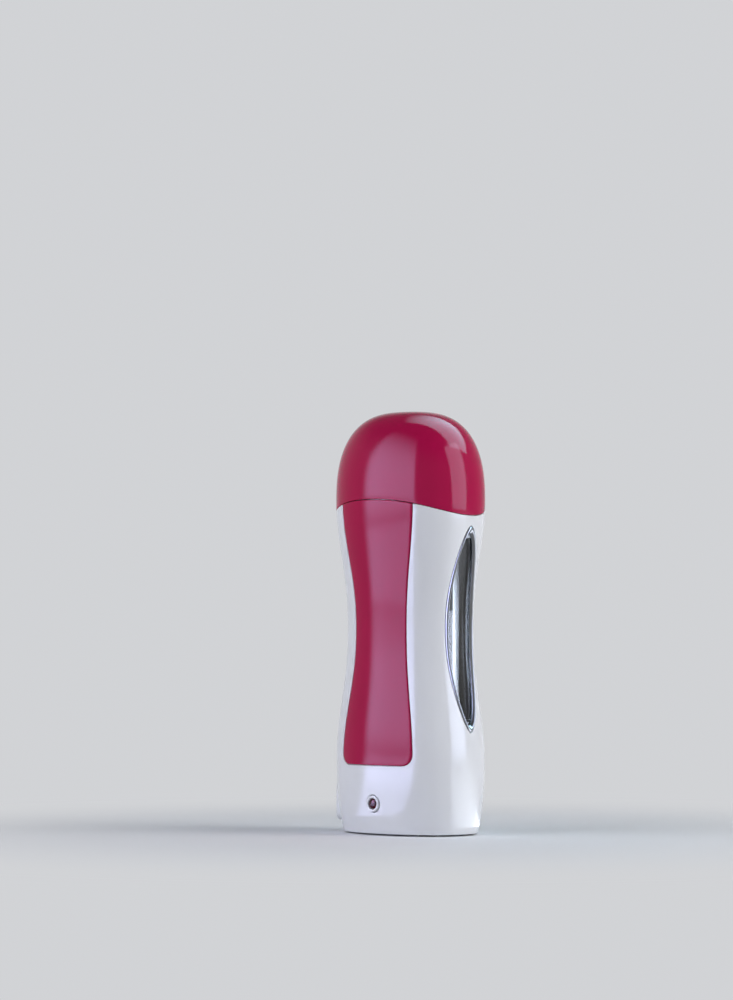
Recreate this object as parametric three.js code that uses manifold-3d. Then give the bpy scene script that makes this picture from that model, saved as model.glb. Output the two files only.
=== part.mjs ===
// A wax heater for roll-on wax cartridges: an upright, waisted housing with a lift-off cap,
// a heated aluminium chamber, a leaf-shaped window in one side and a mains inlet in the other.
// Millimetres, +Z up. The front faces -Y, the window +X and the inlet -X.
// The origin is the centre of the footprint, on the surface that the heater stands on.

import * as THREE from 'three';
import { mergeVertices } from 'three/addons/utils/BufferGeometryUtils.js';
import Module from 'manifold-3d';

// Chamber for the cartridge
const WELL_WIDTH = 45;
const WELL_DEPTH = 27;
const WELL_CORNER_RADIUS = 8;
const CUP_HEIGHT = 108.4;
const CUP_FLOOR = 4;
const CUP_WALL = 1;
const CUP_FLANGE_WIDTH = 3;
const CUP_FLANGE_THICKNESS = 1;
const SLOT_WIDTH = 8;
const SLOT_LENGTH = 78;
const SLOT_RISE = 8;
const GASKET_THICKNESS = 1;
const GASKET_WIDTH = 2.4;

// Housing form: the waist goes round the chamber, and the other widths and depths swell from it
const SIDE_SPACE = 7.1;
const STACK_SPACE = 0.1;
const SHELL_WALL = 2.5;
const BELLY_HEIGHT = 36;
const LOWER_REACH = 61;
const UPPER_REACH = 61;
const DOME_HEIGHT = 42;
const BELLY_SWELL = 6;
const BELLY_DEPTH_SWELL = 4;
const SHOULDER_SWELL = 6.3;
const SHOULDER_DEPTH_SWELL = 4.2;
const FOOT_TUCK = 4.1;
const FOOT_DEPTH_TUCK = 2.9;
const SECTION_POWER = 2.2;
const WAIST_POWER = 2.4;
const FOOT_POWER = 2.6;
const DOME_RISE_POWER = 2.4;
const DOME_ROUND_POWER = 2.9;

// Clearance between touching pieces, and the overrun of a cut past the face it opens
const FIT = 0.3;
const OVERRUN = 2;

// Rims of the shell and seam under the cap
const SHELL_BOTTOM = 0.8;
const LEDGE_HEIGHT = 1.5;
const LEDGE_WIDTH = 1.5;
const SEAM_DROP = 7.8;
const SEAM_RISE = 7.7;

// Cap
const CAP_SKIRT_WALL = 3.1;
const CAP_TOP_WALL = 2.4;
const CAP_DOME_DELAY = 4;

// Front panel
const PANEL_DROP = 3.2;
const PANEL_SIDE_INSET = 17;
const PANEL_CORNER_RADIUS = 5.5;
const PANEL_THICKNESS = 1.2;
const PEG_DIAMETER = 3.2;
const PEG_REACH = 1.2;
const PEG_HALF_SPACING = 10;
const PEG_LOWER_DROP = 47;
const PEG_UPPER_RISE = 31;

// Window
const WINDOW_MARGIN = 12.9;
const WINDOW_HALF_WIDTH = 9.4;
const WINDOW_ROUND_POWER = 0.575;
const TRIM_WIDTH = 1.9;
const TRIM_TIP_SHARE = 1.5;
const TRIM_PROUD = 0.4;
const TRIM_DEPTH = 1.4;
const LENS_FLANGE_WIDTH = 1.5;
const LENS_FLANGE_THICKNESS = 1;

// Neck collar
const COLLAR_RISE = 15.8;
const COLLAR_SKIRT = 10.2;
const COLLAR_WALL = 2;
const COLLAR_CHAMFER = 1.5;
const MOUTH_CHAMFER = 0.8;

// Cradle that carries the chamber
const CRADLE_GAP = 3.5;
const CRADLE_THICKNESS = 2.5;
const LEG_DIAMETER = 8;
const WIRE_HOLE_DIAMETER = 6;

// Screws
const SHANK_DIAMETER = 2.9;
const HEAD_DIAMETER = 6;
const HEAD_HEIGHT = 1.5;
const BASE_SCREW_LENGTH = 14;
const CUP_SCREW_BITE = 2.7;
const CUP_SCREW_HALF_SPACING = 12;
const CLAMP_SHANK_DIAMETER = 2.3;
const CLAMP_HEAD_DIAMETER = 5;
const CLAMP_HEAD_HEIGHT = 0.8;
const CLAMP_SCREW_BITE = 2.2;
const CLAMP_BOSS_DIAMETER = 5.5;

// Base cover and feet
const BASE_BOTTOM = 1.4;
const BASE_THICKNESS = 2.5;
const BOSS_DIAMETER = 11;
const BOSS_HEIGHT = 3.1;
const BOSS_MARGIN = 0.7;
const FOOT_DIAMETER = 9;
const FOOT_HEIGHT = 2.2;
const FOOT_CHAMFER = 0.5;
const VENT_LENGTH = 14;
const VENT_WIDTH = 1.8;
const VENT_PITCH = 4.2;
const VENT_COUNT = 5;

// Heating stack on the back of the chamber, thermostat and fuse on its side
const PTC_WIDTH = 24;
const PTC_HEIGHT = 13;
const PTC_THICKNESS = 2;
const STACK_GAP = 0.55;
const SHEET_MARGIN = 1;
const SHEET_THICKNESS = 0.4;
const CLAMP_WIDTH = 7;
const CLAMP_THICKNESS = 0.8;
const THERMOSTAT_DIAMETER = 12;
const THERMOSTAT_THICKNESS = 4.5;
const THERMOSTAT_RISE = 18;
const TERMINAL_WIDTH = 2.4;
const TERMINAL_THICKNESS = 0.8;
const TERMINAL_LENGTH = 4;
const FUSE_DIAMETER = 3.2;
const FUSE_LENGTH = 11;
const FUSE_SPACE = 4;
const SHIELD_THICKNESS = 0.6;

// Indicator lamp
const LAMP_HEIGHT = 15;
const LAMP_RING_DIAMETER = 7.8;
const LAMP_BORE_DIAMETER = 5.2;
const LAMP_PROUD = 0.7;
const LAMP_FLANGE_DIAMETER = 10.2;
const LAMP_FLANGE_THICKNESS = 1;
const LAMP_FLANGE_SLACK = 0.9;
const LED_DIAMETER = 4.6;
const LED_TIP_PROUD = 0.2;
const BOARD_WIDTH = 12;
const BOARD_HEIGHT = 16;
const BOARD_THICKNESS = 1.6;
const BOARD_GAP = 0.55;
const RIB_HEIGHT = 2.5;
const RIB_THICKNESS = 1.2;
const RESISTOR_DIAMETER = 2.2;
const RESISTOR_LENGTH = 6;

// Mains inlet
const INLET_PROUD = 0.3;
const INLET_RISE = 1.4;
const INLET_SIZE = 19;
const INLET_CORNER_RADIUS = 3;
const INLET_DEPTH = 13.2;
const INLET_BACK_WALL = 2.3;
const SOCKET_LOBE_RADIUS = 4.35;
const SOCKET_LOBE_OFFSET = 3.35;
const EAR_REACH = 3;
const EAR_HEIGHT = 11.6;
const EAR_THICKNESS = 1.5;
const PIN_DIAMETER = 2.4;
const PIN_SPACING = 8.6;
const PIN_RECESS = 2;
const PIN_TAIL = 4.2;
const WIRE_DIAMETER = 1.8;

// Fineness of the surfaces
const SECTION_STEPS = 36;
const ARC_STEPS = 4;
const ROUND_STEPS = 12;
const LEAF_STEPS = 12;
const PANEL_STEPS = 8;
const WIRE_STEPS = 16;
const WIRE_SIDES = 6;

// Heights that follow from the ones above
const waistHeight = BELLY_HEIGHT + LOWER_REACH;
const shoulderHeight = waistHeight + UPPER_REACH;
const totalHeight = shoulderHeight + DOME_HEIGHT;
const seamSideHeight = shoulderHeight - SEAM_DROP;
const seamTop = seamSideHeight + SEAM_RISE;
const collarTop = seamSideHeight + COLLAR_RISE;
const collarBottom = seamSideHeight - COLLAR_SKIRT;
const mouthBottom = collarTop - COLLAR_WALL;
const gasketTop = mouthBottom - FIT;
const cupTop = gasketTop - GASKET_THICKNESS - FIT;
const cupBottom = cupTop - CUP_HEIGHT;
const cradleTop = cupBottom - FIT;
const cradleBottom = cradleTop - CRADLE_THICKNESS;
const baseTop = BASE_BOTTOM + BASE_THICKNESS;
const ledgeBottom = baseTop + FIT;
const ledgeTop = ledgeBottom + LEDGE_HEIGHT;
const bossTop = baseTop + BOSS_HEIGHT;
const inletHeight = baseTop + INLET_RISE + INLET_SIZE / 2;
const footSeat = FOOT_HEIGHT + FIT;
const baseHeadBottom = footSeat + FIT;
const thermostatHeight = cupBottom + THERMOSTAT_RISE;
const fuseBottom = thermostatHeight + THERMOSTAT_DIAMETER / 2 + FUSE_SPACE;

// Heating stack outwards from the back of the chamber
const cupSide = WELL_WIDTH / 2 + CUP_WALL;
const cupBack = WELL_DEPTH / 2 + CUP_WALL;
const insulatorInner = cupBack + FIT;
const ptcInner = insulatorInner + SHEET_THICKNESS + FIT;
const insulatorOuter = ptcInner + PTC_THICKNESS + FIT;
const clampInner = insulatorOuter + SHEET_THICKNESS + FIT;
const clampHead = clampInner + CLAMP_THICKNESS + FIT;
const stackBack = clampHead + CLAMP_HEAD_HEIGHT;
const clampScrewOffset = PTC_HEIGHT / 2 + SHEET_MARGIN + FIT + CLAMP_BOSS_DIAMETER / 2;
const stackHeight = cupBottom + STACK_GAP + CLAMP_WIDTH / 2 + clampScrewOffset;

// Half widths and half depths of the housing that follow from the chamber and the stack
const widths = swelled(cupSide + SIDE_SPACE + SHELL_WALL, BELLY_SWELL, SHOULDER_SWELL, FOOT_TUCK);
const depths = swelled(
  stackBack + STACK_SPACE + SHELL_WALL, BELLY_DEPTH_SWELL, SHOULDER_DEPTH_SWELL, FOOT_DEPTH_TUCK,
);
const farSide = Math.max(widths.belly, widths.shoulder) + OVERRUN;
const farFront = Math.max(depths.belly, depths.shoulder) + OVERRUN;
const capInnerHalfWidth = widths.shoulder - CAP_SKIRT_WALL;
const capInnerHalfDepth = depths.shoulder - CAP_SKIRT_WALL;
const windowHalfLength = UPPER_REACH - WINDOW_MARGIN;

// Places of the other pieces
const recessDepth = PANEL_THICKNESS + FIT;
const wireHoleX = -cupSide - FIT - WIRE_HOLE_DIAMETER / 2;
const inletFace = -widths.belly - INLET_PROUD;
const inletBack = inletFace + INLET_DEPTH;
const pinTip = inletFace + PIN_RECESS;
const pinEnd = inletBack + PIN_TAIL;
const footX = -inletBack - BOSS_DIAMETER / 2 - BOSS_MARGIN;
const footY = (PIN_SPACING + PIN_DIAMETER + LEG_DIAMETER) / 2 + FIT;
const lampFace = halfDepth(LAMP_HEIGHT) + LAMP_PROUD;
const lampFlangeFront = halfDepth(LAMP_HEIGHT) - SHELL_WALL - LAMP_FLANGE_SLACK;
const boardFront = halfDepth(ledgeBottom) - SHELL_WALL - LEDGE_WIDTH - BOARD_GAP;
const ledBack = boardFront + FIT;
const ledLength = lampFace + LED_TIP_PROUD - ledBack;
const wireRadius = WIRE_DIAMETER / 2;

function swelled(waist, bellySwell, shoulderSwell, footTuck) {
  const belly = waist + bellySwell;
  return { waist, belly, shoulder: waist + shoulderSwell, foot: belly - footTuck };
}

// Half of the housing's width or depth at a height: foot, waisted middle and dome.
function halfSize(height, sizes) {
  if (height < BELLY_HEIGHT) {
    const drop = ((BELLY_HEIGHT - height) / BELLY_HEIGHT) ** FOOT_POWER;
    return sizes.belly - (sizes.belly - sizes.foot) * drop;
  }
  if (height < shoulderHeight) {
    const below = height < waistHeight;
    const end = below ? sizes.belly : sizes.shoulder;
    const turn = (Math.PI / 2) * (Math.abs(height - waistHeight) / (below ? LOWER_REACH : UPPER_REACH));
    return sizes.waist + (end - sizes.waist) * Math.sin(turn) ** WAIST_POWER;
  }
  return sizes.shoulder * domeShare(height, shoulderHeight, totalHeight);
}

function halfWidth(height) {
  return halfSize(height, widths);
}

function halfDepth(height) {
  return halfSize(height, depths);
}

// How much of its full width a dome keeps at a height between its foot and its apex.
function domeShare(height, foot, apex) {
  const rise = Math.min(1, (height - foot) / (apex - foot));
  return (1 - rise ** DOME_RISE_POWER) ** (1 / DOME_ROUND_POWER);
}

// Height of the seam between shell and cap: low at the sides, high at front and back.
function seamHeight(angle) {
  return seamSideHeight + SEAM_RISE * rounded(Math.sin(angle)) ** 2;
}

function rounded(value) {
  return Math.sign(value) * Math.abs(value) ** (2 / SECTION_POWER);
}

// Distance of the front surface from the middle plane, at a place across and a height.
function frontSurface(x, height) {
  const across = Math.abs(x) / halfWidth(height);
  return halfDepth(height) * (1 - across ** SECTION_POWER) ** (1 / SECTION_POWER);
}

// Distance of a side surface from the middle plane, at an inset inside the housing.
function sideSurface(y, height, inset) {
  const along = Math.abs(y) / (halfDepth(height) - inset);
  return (halfWidth(height) - inset) * (1 - along ** SECTION_POWER) ** (1 / SECTION_POWER);
}

function levels(from, to, count, ease = 1) {
  const shares = Array.from({ length: count + 1 }, (_, i) => (i / count) ** ease);
  return shares.map((share) => from + (to - from) * share);
}

// One ring of points round the section. The sizes may be numbers or functions of the angle.
function ring(width, depth, height) {
  const at = (size, angle) => (typeof size === 'function' ? size(angle) : size);
  return levels(0, 2 * Math.PI, SECTION_STEPS).slice(0, -1).map((angle) => new THREE.Vector3(
    at(width, angle) * rounded(Math.cos(angle)),
    at(depth, angle) * rounded(Math.sin(angle)),
    at(height, angle),
  ));
}

// A ring on the housing's own surface, or at an inset inside it.
function housingRing(height, inset) {
  const heightAt = typeof height === 'function' ? height : () => height;
  return ring(
    (angle) => halfWidth(heightAt(angle)) - inset,
    (angle) => halfDepth(heightAt(angle)) - inset,
    heightAt,
  );
}

// A closed surface through rings of equal count: a hoop, or a body whose ends are closed by
// fans to two end points, which lie in the end rings' middles unless they are given.
function loft(rings, hoop = false, ends = [centre(rings[0]), centre(rings.at(-1))]) {
  const count = rings[0].length;
  const points = rings.flat();
  const index = [];
  const bands = hoop ? rings.length : rings.length - 1;
  for (let row = 0; row < bands; row += 1) {
    const low = row * count;
    const high = ((row + 1) % rings.length) * count;
    for (let i = 0; i < count; i += 1) {
      const next = (i + 1) % count;
      index.push(low + i, low + next, high + next, low + i, high + next, high + i);
    }
  }
  if (!hoop) {
    const last = (rings.length - 1) * count;
    const foot = points.push(ends[0]) - 1;
    const apex = points.push(ends[1]) - 1;
    for (let i = 0; i < count; i += 1) {
      const next = (i + 1) % count;
      index.push(foot, next, i, apex, last + i, last + next);
    }
  }
  const geometry = new THREE.BufferGeometry().setFromPoints(points);
  geometry.setIndex(index);
  return geometry;
}

function centre(points) {
  const sum = points.reduce((total, point) => total.add(point), new THREE.Vector3());
  return sum.divideScalar(points.length);
}

const wasm = await Module();
wasm.setup();

// A closed geometry as a solid that can be joined and cut.
function solid(geometry) {
  const bare = geometry.clone();
  bare.deleteAttribute('normal');
  bare.deleteAttribute('uv');
  const merged = mergeVertices(bare);
  const triVerts = new Uint32Array(merged.index.array);
  const vertProperties = merged.attributes.position.array;
  const body = new wasm.Manifold(new wasm.Mesh({ numProp: 3, vertProperties, triVerts }));
  if (body.volume() > 0) return body;
  const turned = triVerts.map((_, i) => triVerts[i % 3 === 1 ? i + 1 : i % 3 === 2 ? i - 1 : i]);
  return new wasm.Manifold(new wasm.Mesh({ numProp: 3, vertProperties, triVerts: turned }));
}

function geometryOf(body) {
  const mesh = body.getMesh();
  const geometry = new THREE.BufferGeometry();
  geometry.setAttribute('position', new THREE.BufferAttribute(mesh.vertProperties, 3));
  geometry.setIndex(new THREE.BufferAttribute(mesh.triVerts, 1));
  return geometry;
}

function joined(first, ...others) {
  return others.reduce((body, other) => body.add(other), first);
}

function cut(first, ...others) {
  return others.reduce((body, other) => body.subtract(other), first);
}

// An outline raised along Z from one height to another.
function upright(shape, from, to) {
  const options = { depth: to - from, bevelEnabled: false, curveSegments: ARC_STEPS };
  return solid(new THREE.ExtrudeGeometry(shape, options).translate(0, 0, from));
}

// An outline drawn in X and Z, carried along Y from one place to another.
function frontward(shape, from, to) {
  const options = { depth: to - from, bevelEnabled: false, curveSegments: ARC_STEPS };
  const geometry = new THREE.ExtrudeGeometry(shape, options).rotateX(Math.PI / 2);
  return solid(geometry.translate(0, to, 0));
}

// An outline drawn in Y and Z, carried along X from one place to another.
function sideward(shape, from, to) {
  const options = { depth: to - from, bevelEnabled: false, curveSegments: ARC_STEPS };
  const axes = [[0, 1, 0], [0, 0, 1], [1, 0, 0]].map((axis) => new THREE.Vector3(...axis));
  const turn = new THREE.Matrix4().makeBasis(...axes);
  const geometry = new THREE.ExtrudeGeometry(shape, options).applyMatrix4(turn);
  return solid(geometry.translate(from, 0, 0));
}

function rod(diameter, from, to, x = 0, y = 0) {
  const geometry = new THREE.CylinderGeometry(diameter / 2, diameter / 2, to - from, ROUND_STEPS);
  return solid(geometry.rotateX(Math.PI / 2).translate(x, y, (from + to) / 2));
}

function frontRod(diameter, from, to, x, z) {
  const geometry = new THREE.CylinderGeometry(diameter / 2, diameter / 2, to - from, ROUND_STEPS);
  return solid(geometry.translate(x, (from + to) / 2, z));
}

function sideRod(diameter, from, to, y, z) {
  const geometry = new THREE.CylinderGeometry(diameter / 2, diameter / 2, to - from, ROUND_STEPS);
  return solid(geometry.rotateZ(Math.PI / 2).translate((from + to) / 2, y, z));
}

function block(from, to) {
  const size = to.map((end, i) => end - from[i]);
  const middle = to.map((end, i) => (end + from[i]) / 2);
  return solid(new THREE.BoxGeometry(...size).translate(...middle));
}

function roundedRectangle(width, height, radius, x = 0, y = 0) {
  const right = width / 2 - radius;
  const top = height / 2 - radius;
  const shape = new THREE.Shape();
  shape.moveTo(x - right, y - height / 2);
  shape.absarc(x + right, y - top, radius, -Math.PI / 2, 0);
  shape.absarc(x + right, y + top, radius, 0, Math.PI / 2);
  shape.absarc(x - right, y + top, radius, Math.PI / 2, Math.PI);
  shape.absarc(x - right, y - top, radius, Math.PI, 1.5 * Math.PI);
  return shape;
}

function oval(width, depth) {
  return new THREE.Shape(ring(width, depth, 0).map((point) => new THREE.Vector2(point.x, point.y)));
}

// A layer of the housing's skin between two insets, from a height to a height.
function skin(outer, inner, bottom, top) {
  const wavy = typeof top === 'function';
  const heights = wavy ? [...levels(bottom, collarBottom, 8), top] : levels(bottom, top, 9);
  const up = heights.map((height) => housingRing(height, outer));
  const down = heights.map((height) => housingRing(height, inner)).reverse();
  return solid(loft([...up, ...down], true));
}

// Outline of the front panel, drawn in X and Z: its sides follow the waist.
function panelOutline(inset) {
  const edge = (height) => halfWidth(height) - PANEL_SIDE_INSET - inset;
  const radius = PANEL_CORNER_RADIUS - inset;
  const bottom = BELLY_HEIGHT - PANEL_DROP + inset;
  const corner = bottom + radius;
  const side = levels(corner, seamTop + OVERRUN, PANEL_STEPS);
  const shape = new THREE.Shape();
  shape.moveTo(radius - edge(corner), bottom);
  shape.absarc(edge(corner) - radius, corner, radius, -Math.PI / 2, 0);
  side.slice(1).forEach((height) => shape.lineTo(edge(height), height));
  side.slice(1).reverse().forEach((height) => shape.lineTo(-edge(height), height));
  shape.absarc(radius - edge(corner), corner, radius, Math.PI, 1.5 * Math.PI);
  return shape;
}

// Pointed outline of the window, drawn in Y and Z.
function leaf(halfLength, halfBreadth) {
  const turns = levels(0, Math.PI, LEAF_STEPS);
  const breadth = (turn) => halfBreadth * Math.sin(turn) ** (2 * WINDOW_ROUND_POWER);
  const height = (turn) => waistHeight - halfLength * Math.cos(turn);
  const right = turns.map((turn) => new THREE.Vector2(breadth(turn), height(turn)));
  const left = turns.slice(1, -1).map((turn) => new THREE.Vector2(-breadth(turn), height(turn)));
  return new THREE.Shape([...right, ...left.reverse()]);
}

function leafAt(offset) {
  const length = windowHalfLength + offset * TRIM_TIP_SHARE;
  return leaf(length, WINDOW_HALF_WIDTH + offset);
}

function leafPrism(offset) {
  return sideward(leafAt(offset), WELL_WIDTH / 2, farSide);
}

function windowSkin(outer, inner) {
  const reach = windowHalfLength + LENS_FLANGE_WIDTH * TRIM_TIP_SHARE + OVERRUN;
  return skin(outer, inner, waistHeight - reach, waistHeight + reach);
}

const pegs = [waistHeight - PEG_LOWER_DROP, waistHeight + PEG_UPPER_RISE]
  .flatMap((z) => [-PEG_HALF_SPACING, PEG_HALF_SPACING].map((x) => ({ x, z })));
const feet = [-footX, footX].flatMap((x) => [-footY, footY].map((y) => [x, y]));
const cupScrews = [-CUP_SCREW_HALF_SPACING, CUP_SCREW_HALF_SPACING];
const clampScrews = [stackHeight - clampScrewOffset, stackHeight + clampScrewOffset];
const pins = [-PIN_SPACING / 2, PIN_SPACING / 2];

function peg(diameter, { x, z }) {
  const surface = frontSurface(x, z);
  const tip = surface - SHELL_WALL - PEG_REACH;
  return frontRod(diameter, -surface + PANEL_THICKNESS / 2, -tip, x, z);
}

function bodyShell() {
  const foot = levels(SHELL_BOTTOM, BELLY_HEIGHT, 4, 1.6);
  const middle = levels(BELLY_HEIGHT, collarBottom, 8).slice(1);
  const heights = [...foot, ...middle, seamHeight];
  const inside = heights.filter((height) => typeof height === 'function' || height > ledgeTop);
  const rimWidth = halfWidth(ledgeBottom) - SHELL_WALL;
  const rimDepth = halfDepth(ledgeBottom) - SHELL_WALL;
  const rings = [
    ...heights.map((height) => housingRing(height, 0)),
    ...inside.reverse().map((height) => housingRing(height, SHELL_WALL)),
    housingRing(ledgeTop, SHELL_WALL),
    ring(rimWidth - LEDGE_WIDTH, rimDepth - LEDGE_WIDTH, ledgeTop),
    ring(rimWidth - LEDGE_WIDTH, rimDepth - LEDGE_WIDTH, ledgeBottom),
    ring(rimWidth, rimDepth, ledgeBottom),
    ring(rimWidth, rimDepth, SHELL_BOTTOM),
  ];
  const above = (angle) => seamHeight(angle) + OVERRUN;
  const recess = skin(-OVERRUN, recessDepth, BELLY_HEIGHT - PANEL_DROP - OVERRUN, above)
    .intersect(frontward(panelOutline(0), -farFront, 0));
  const inletHole = roundedRectangle(
    INLET_SIZE + 2 * FIT, INLET_SIZE + 2 * FIT, INLET_CORNER_RADIUS + FIT, 0, inletHeight,
  );
  const lampHole = LAMP_RING_DIAMETER + 2 * FIT;
  return cut(
    solid(loft(rings, true)),
    recess,
    ...pegs.map((place) => peg(PEG_DIAMETER + 2 * FIT, place)),
    leafPrism(FIT),
    frontRod(lampHole, -lampFace - OVERRUN, -ledBack, 0, LAMP_HEIGHT),
    sideward(inletHole, inletFace - OVERRUN, inletBack),
  );
}

function frontPanel() {
  const plate = skin(0, PANEL_THICKNESS, BELLY_HEIGHT - PANEL_DROP - OVERRUN, seamHeight)
    .intersect(frontward(panelOutline(FIT), -farFront, 0));
  return joined(plate, ...pegs.map((place) => peg(PEG_DIAMETER, place)));
}

function capShell() {
  const rim = (angle) => seamHeight(angle) + FIT;
  const domeFoot = shoulderHeight + SEAM_RISE;
  const shoulder = (angle) => (rim(angle) + domeFoot) / 2;
  const innerTop = totalHeight - CAP_TOP_WALL;
  const innerFoot = shoulderHeight + CAP_DOME_DELAY;
  const inner = levels(innerTop, innerFoot, 8, 1.8).slice(1);
  const outer = levels(totalHeight, domeFoot, 10, 1.9).slice(1).reverse();
  const innerRing = (height) => {
    const share = domeShare(height, innerFoot, innerTop);
    return ring(capInnerHalfWidth * share, capInnerHalfDepth * share, height);
  };
  const rings = [
    ...inner.map(innerRing),
    ring(capInnerHalfWidth, capInnerHalfDepth, rim),
    ...[rim, shoulder, ...outer].map((height) => housingRing(height, 0)),
  ];
  const ends = [innerTop, totalHeight].map((height) => new THREE.Vector3(0, 0, height));
  return solid(loft(rings, false, ends));
}

function neckCollar() {
  const outerWidth = capInnerHalfWidth - FIT;
  const outerDepth = capInnerHalfDepth - FIT;
  const widthAt = (height, inset) => {
    return Math.min(outerWidth, halfWidth(height) - SHELL_WALL - FIT) - inset;
  };
  const depthAt = (height, inset) => {
    return Math.min(outerDepth, halfDepth(height) - SHELL_WALL - FIT) - inset;
  };
  const rise = levels(collarBottom, seamSideHeight, 3);
  const collarRing = (height, inset) => {
    return ring(widthAt(height, inset), depthAt(height, inset), height);
  };
  const outside = loft([
    ...rise.map((height) => collarRing(height, 0)),
    ring(outerWidth, outerDepth, collarTop - COLLAR_CHAMFER),
    ring(outerWidth - COLLAR_CHAMFER, outerDepth - COLLAR_CHAMFER, collarTop),
  ]);
  const inside = loft([
    collarRing(collarBottom, COLLAR_WALL).map((point) => point.setZ(collarBottom - OVERRUN)),
    ...rise.map((height) => collarRing(height, COLLAR_WALL)),
    ring(outerWidth - COLLAR_WALL, outerDepth - COLLAR_WALL, mouthBottom),
  ]);
  const mouth = roundedRectangle(WELL_WIDTH, WELL_DEPTH, WELL_CORNER_RADIUS);
  return cut(
    solid(outside),
    solid(inside),
    upright(mouth, gasketTop, collarTop + OVERRUN),
    mouthLead(),
    leafPrism(LENS_FLANGE_WIDTH + FIT),
  );
}

// Sloping lead round the collar's mouth.
function mouthLead() {
  const outline = (grow) => roundedRectangle(
    WELL_WIDTH + 2 * grow, WELL_DEPTH + 2 * grow, WELL_CORNER_RADIUS + grow,
  ).getPoints(ARC_STEPS);
  const at = (grow, height) => outline(grow).map((point) => new THREE.Vector3(point.x, point.y, height));
  const low = at(0, collarTop - MOUTH_CHAMFER);
  const high = at(2 * MOUTH_CHAMFER, collarTop + MOUTH_CHAMFER);
  return solid(loft([low, high].map(withoutRepeats)));
}

function withoutRepeats(points) {
  return points.filter((point, i) => point.distanceTo(points.at(i - 1)) > FIT / 10);
}

function windowTrim() {
  return cut(windowSkin(-TRIM_PROUD, TRIM_DEPTH).intersect(leafPrism(0)), leafPrism(-TRIM_WIDTH));
}

function windowLens() {
  const front = TRIM_DEPTH + FIT;
  const flange = SHELL_WALL + FIT;
  const back = flange + LENS_FLANGE_THICKNESS;
  return joined(
    windowSkin(front, back).intersect(leafPrism(0)),
    windowSkin(flange, back).intersect(leafPrism(LENS_FLANGE_WIDTH)),
  );
}

function lampRing() {
  return cut(
    joined(
      frontRod(LAMP_RING_DIAMETER, -lampFace, -lampFlangeFront + LAMP_FLANGE_THICKNESS, 0, LAMP_HEIGHT),
      frontRod(
        LAMP_FLANGE_DIAMETER, -lampFlangeFront, -lampFlangeFront + LAMP_FLANGE_THICKNESS, 0, LAMP_HEIGHT,
      ),
    ),
    frontRod(LAMP_BORE_DIAMETER, -lampFace - OVERRUN, -ledBack, 0, LAMP_HEIGHT),
  );
}

// A light-emitting diode's moulded body: a cylinder with a rounded end towards the front.
function lampLens() {
  const radius = LED_DIAMETER / 2;
  const round = radius / 2;
  const shoulder = ledLength - round;
  const arc = levels(0, Math.PI / 2, ARC_STEPS).map((turn) => new THREE.Vector2(
    radius * Math.cos(turn), shoulder + round * Math.sin(turn),
  ));
  arc.at(-1).x = 0;
  const profile = [new THREE.Vector2(0, 0), new THREE.Vector2(radius, 0), ...arc];
  const geometry = new THREE.LatheGeometry(profile, ROUND_STEPS).rotateX(Math.PI);
  return solid(geometry.translate(0, -ledBack, LAMP_HEIGHT));
}

function lampBoard() {
  const half = BOARD_WIDTH / 2;
  const bottom = baseTop + FIT;
  return block([-half, -boardFront, bottom], [half, -boardFront + BOARD_THICKNESS, bottom + BOARD_HEIGHT]);
}

function lampResistor() {
  const behind = -boardFront + BOARD_THICKNESS + FIT + RESISTOR_DIAMETER / 2;
  return sideRod(RESISTOR_DIAMETER, -RESISTOR_LENGTH / 2, RESISTOR_LENGTH / 2, behind, LAMP_HEIGHT);
}

// Outline of a two-pin socket: two round lobes that run into each other.
function socketOutline() {
  const turn = Math.PI - Math.acos(SOCKET_LOBE_OFFSET / SOCKET_LOBE_RADIUS);
  const shape = new THREE.Shape();
  shape.absarc(SOCKET_LOBE_OFFSET, inletHeight, SOCKET_LOBE_RADIUS, -turn, turn);
  shape.absarc(-SOCKET_LOBE_OFFSET, inletHeight, SOCKET_LOBE_RADIUS, Math.PI - turn, Math.PI + turn);
  return shape;
}

function inletHousing() {
  const outline = roundedRectangle(INLET_SIZE, INLET_SIZE, INLET_CORNER_RADIUS, 0, inletHeight);
  const earHalf = INLET_SIZE / 2 + EAR_REACH;
  const earFront = FIT - sideSurface(earHalf, inletHeight - EAR_HEIGHT / 2, SHELL_WALL);
  const ears = block(
    [earFront, -earHalf, inletHeight - EAR_HEIGHT / 2],
    [earFront + EAR_THICKNESS, earHalf, inletHeight + EAR_HEIGHT / 2],
  );
  return cut(
    joined(sideward(outline, inletFace, inletBack), ears),
    sideward(socketOutline(), inletFace - OVERRUN, inletBack - INLET_BACK_WALL),
    ...pins.map((y) => sideRod(PIN_DIAMETER + 2 * FIT, pinTip, inletBack + OVERRUN, y, inletHeight)),
  );
}

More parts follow.
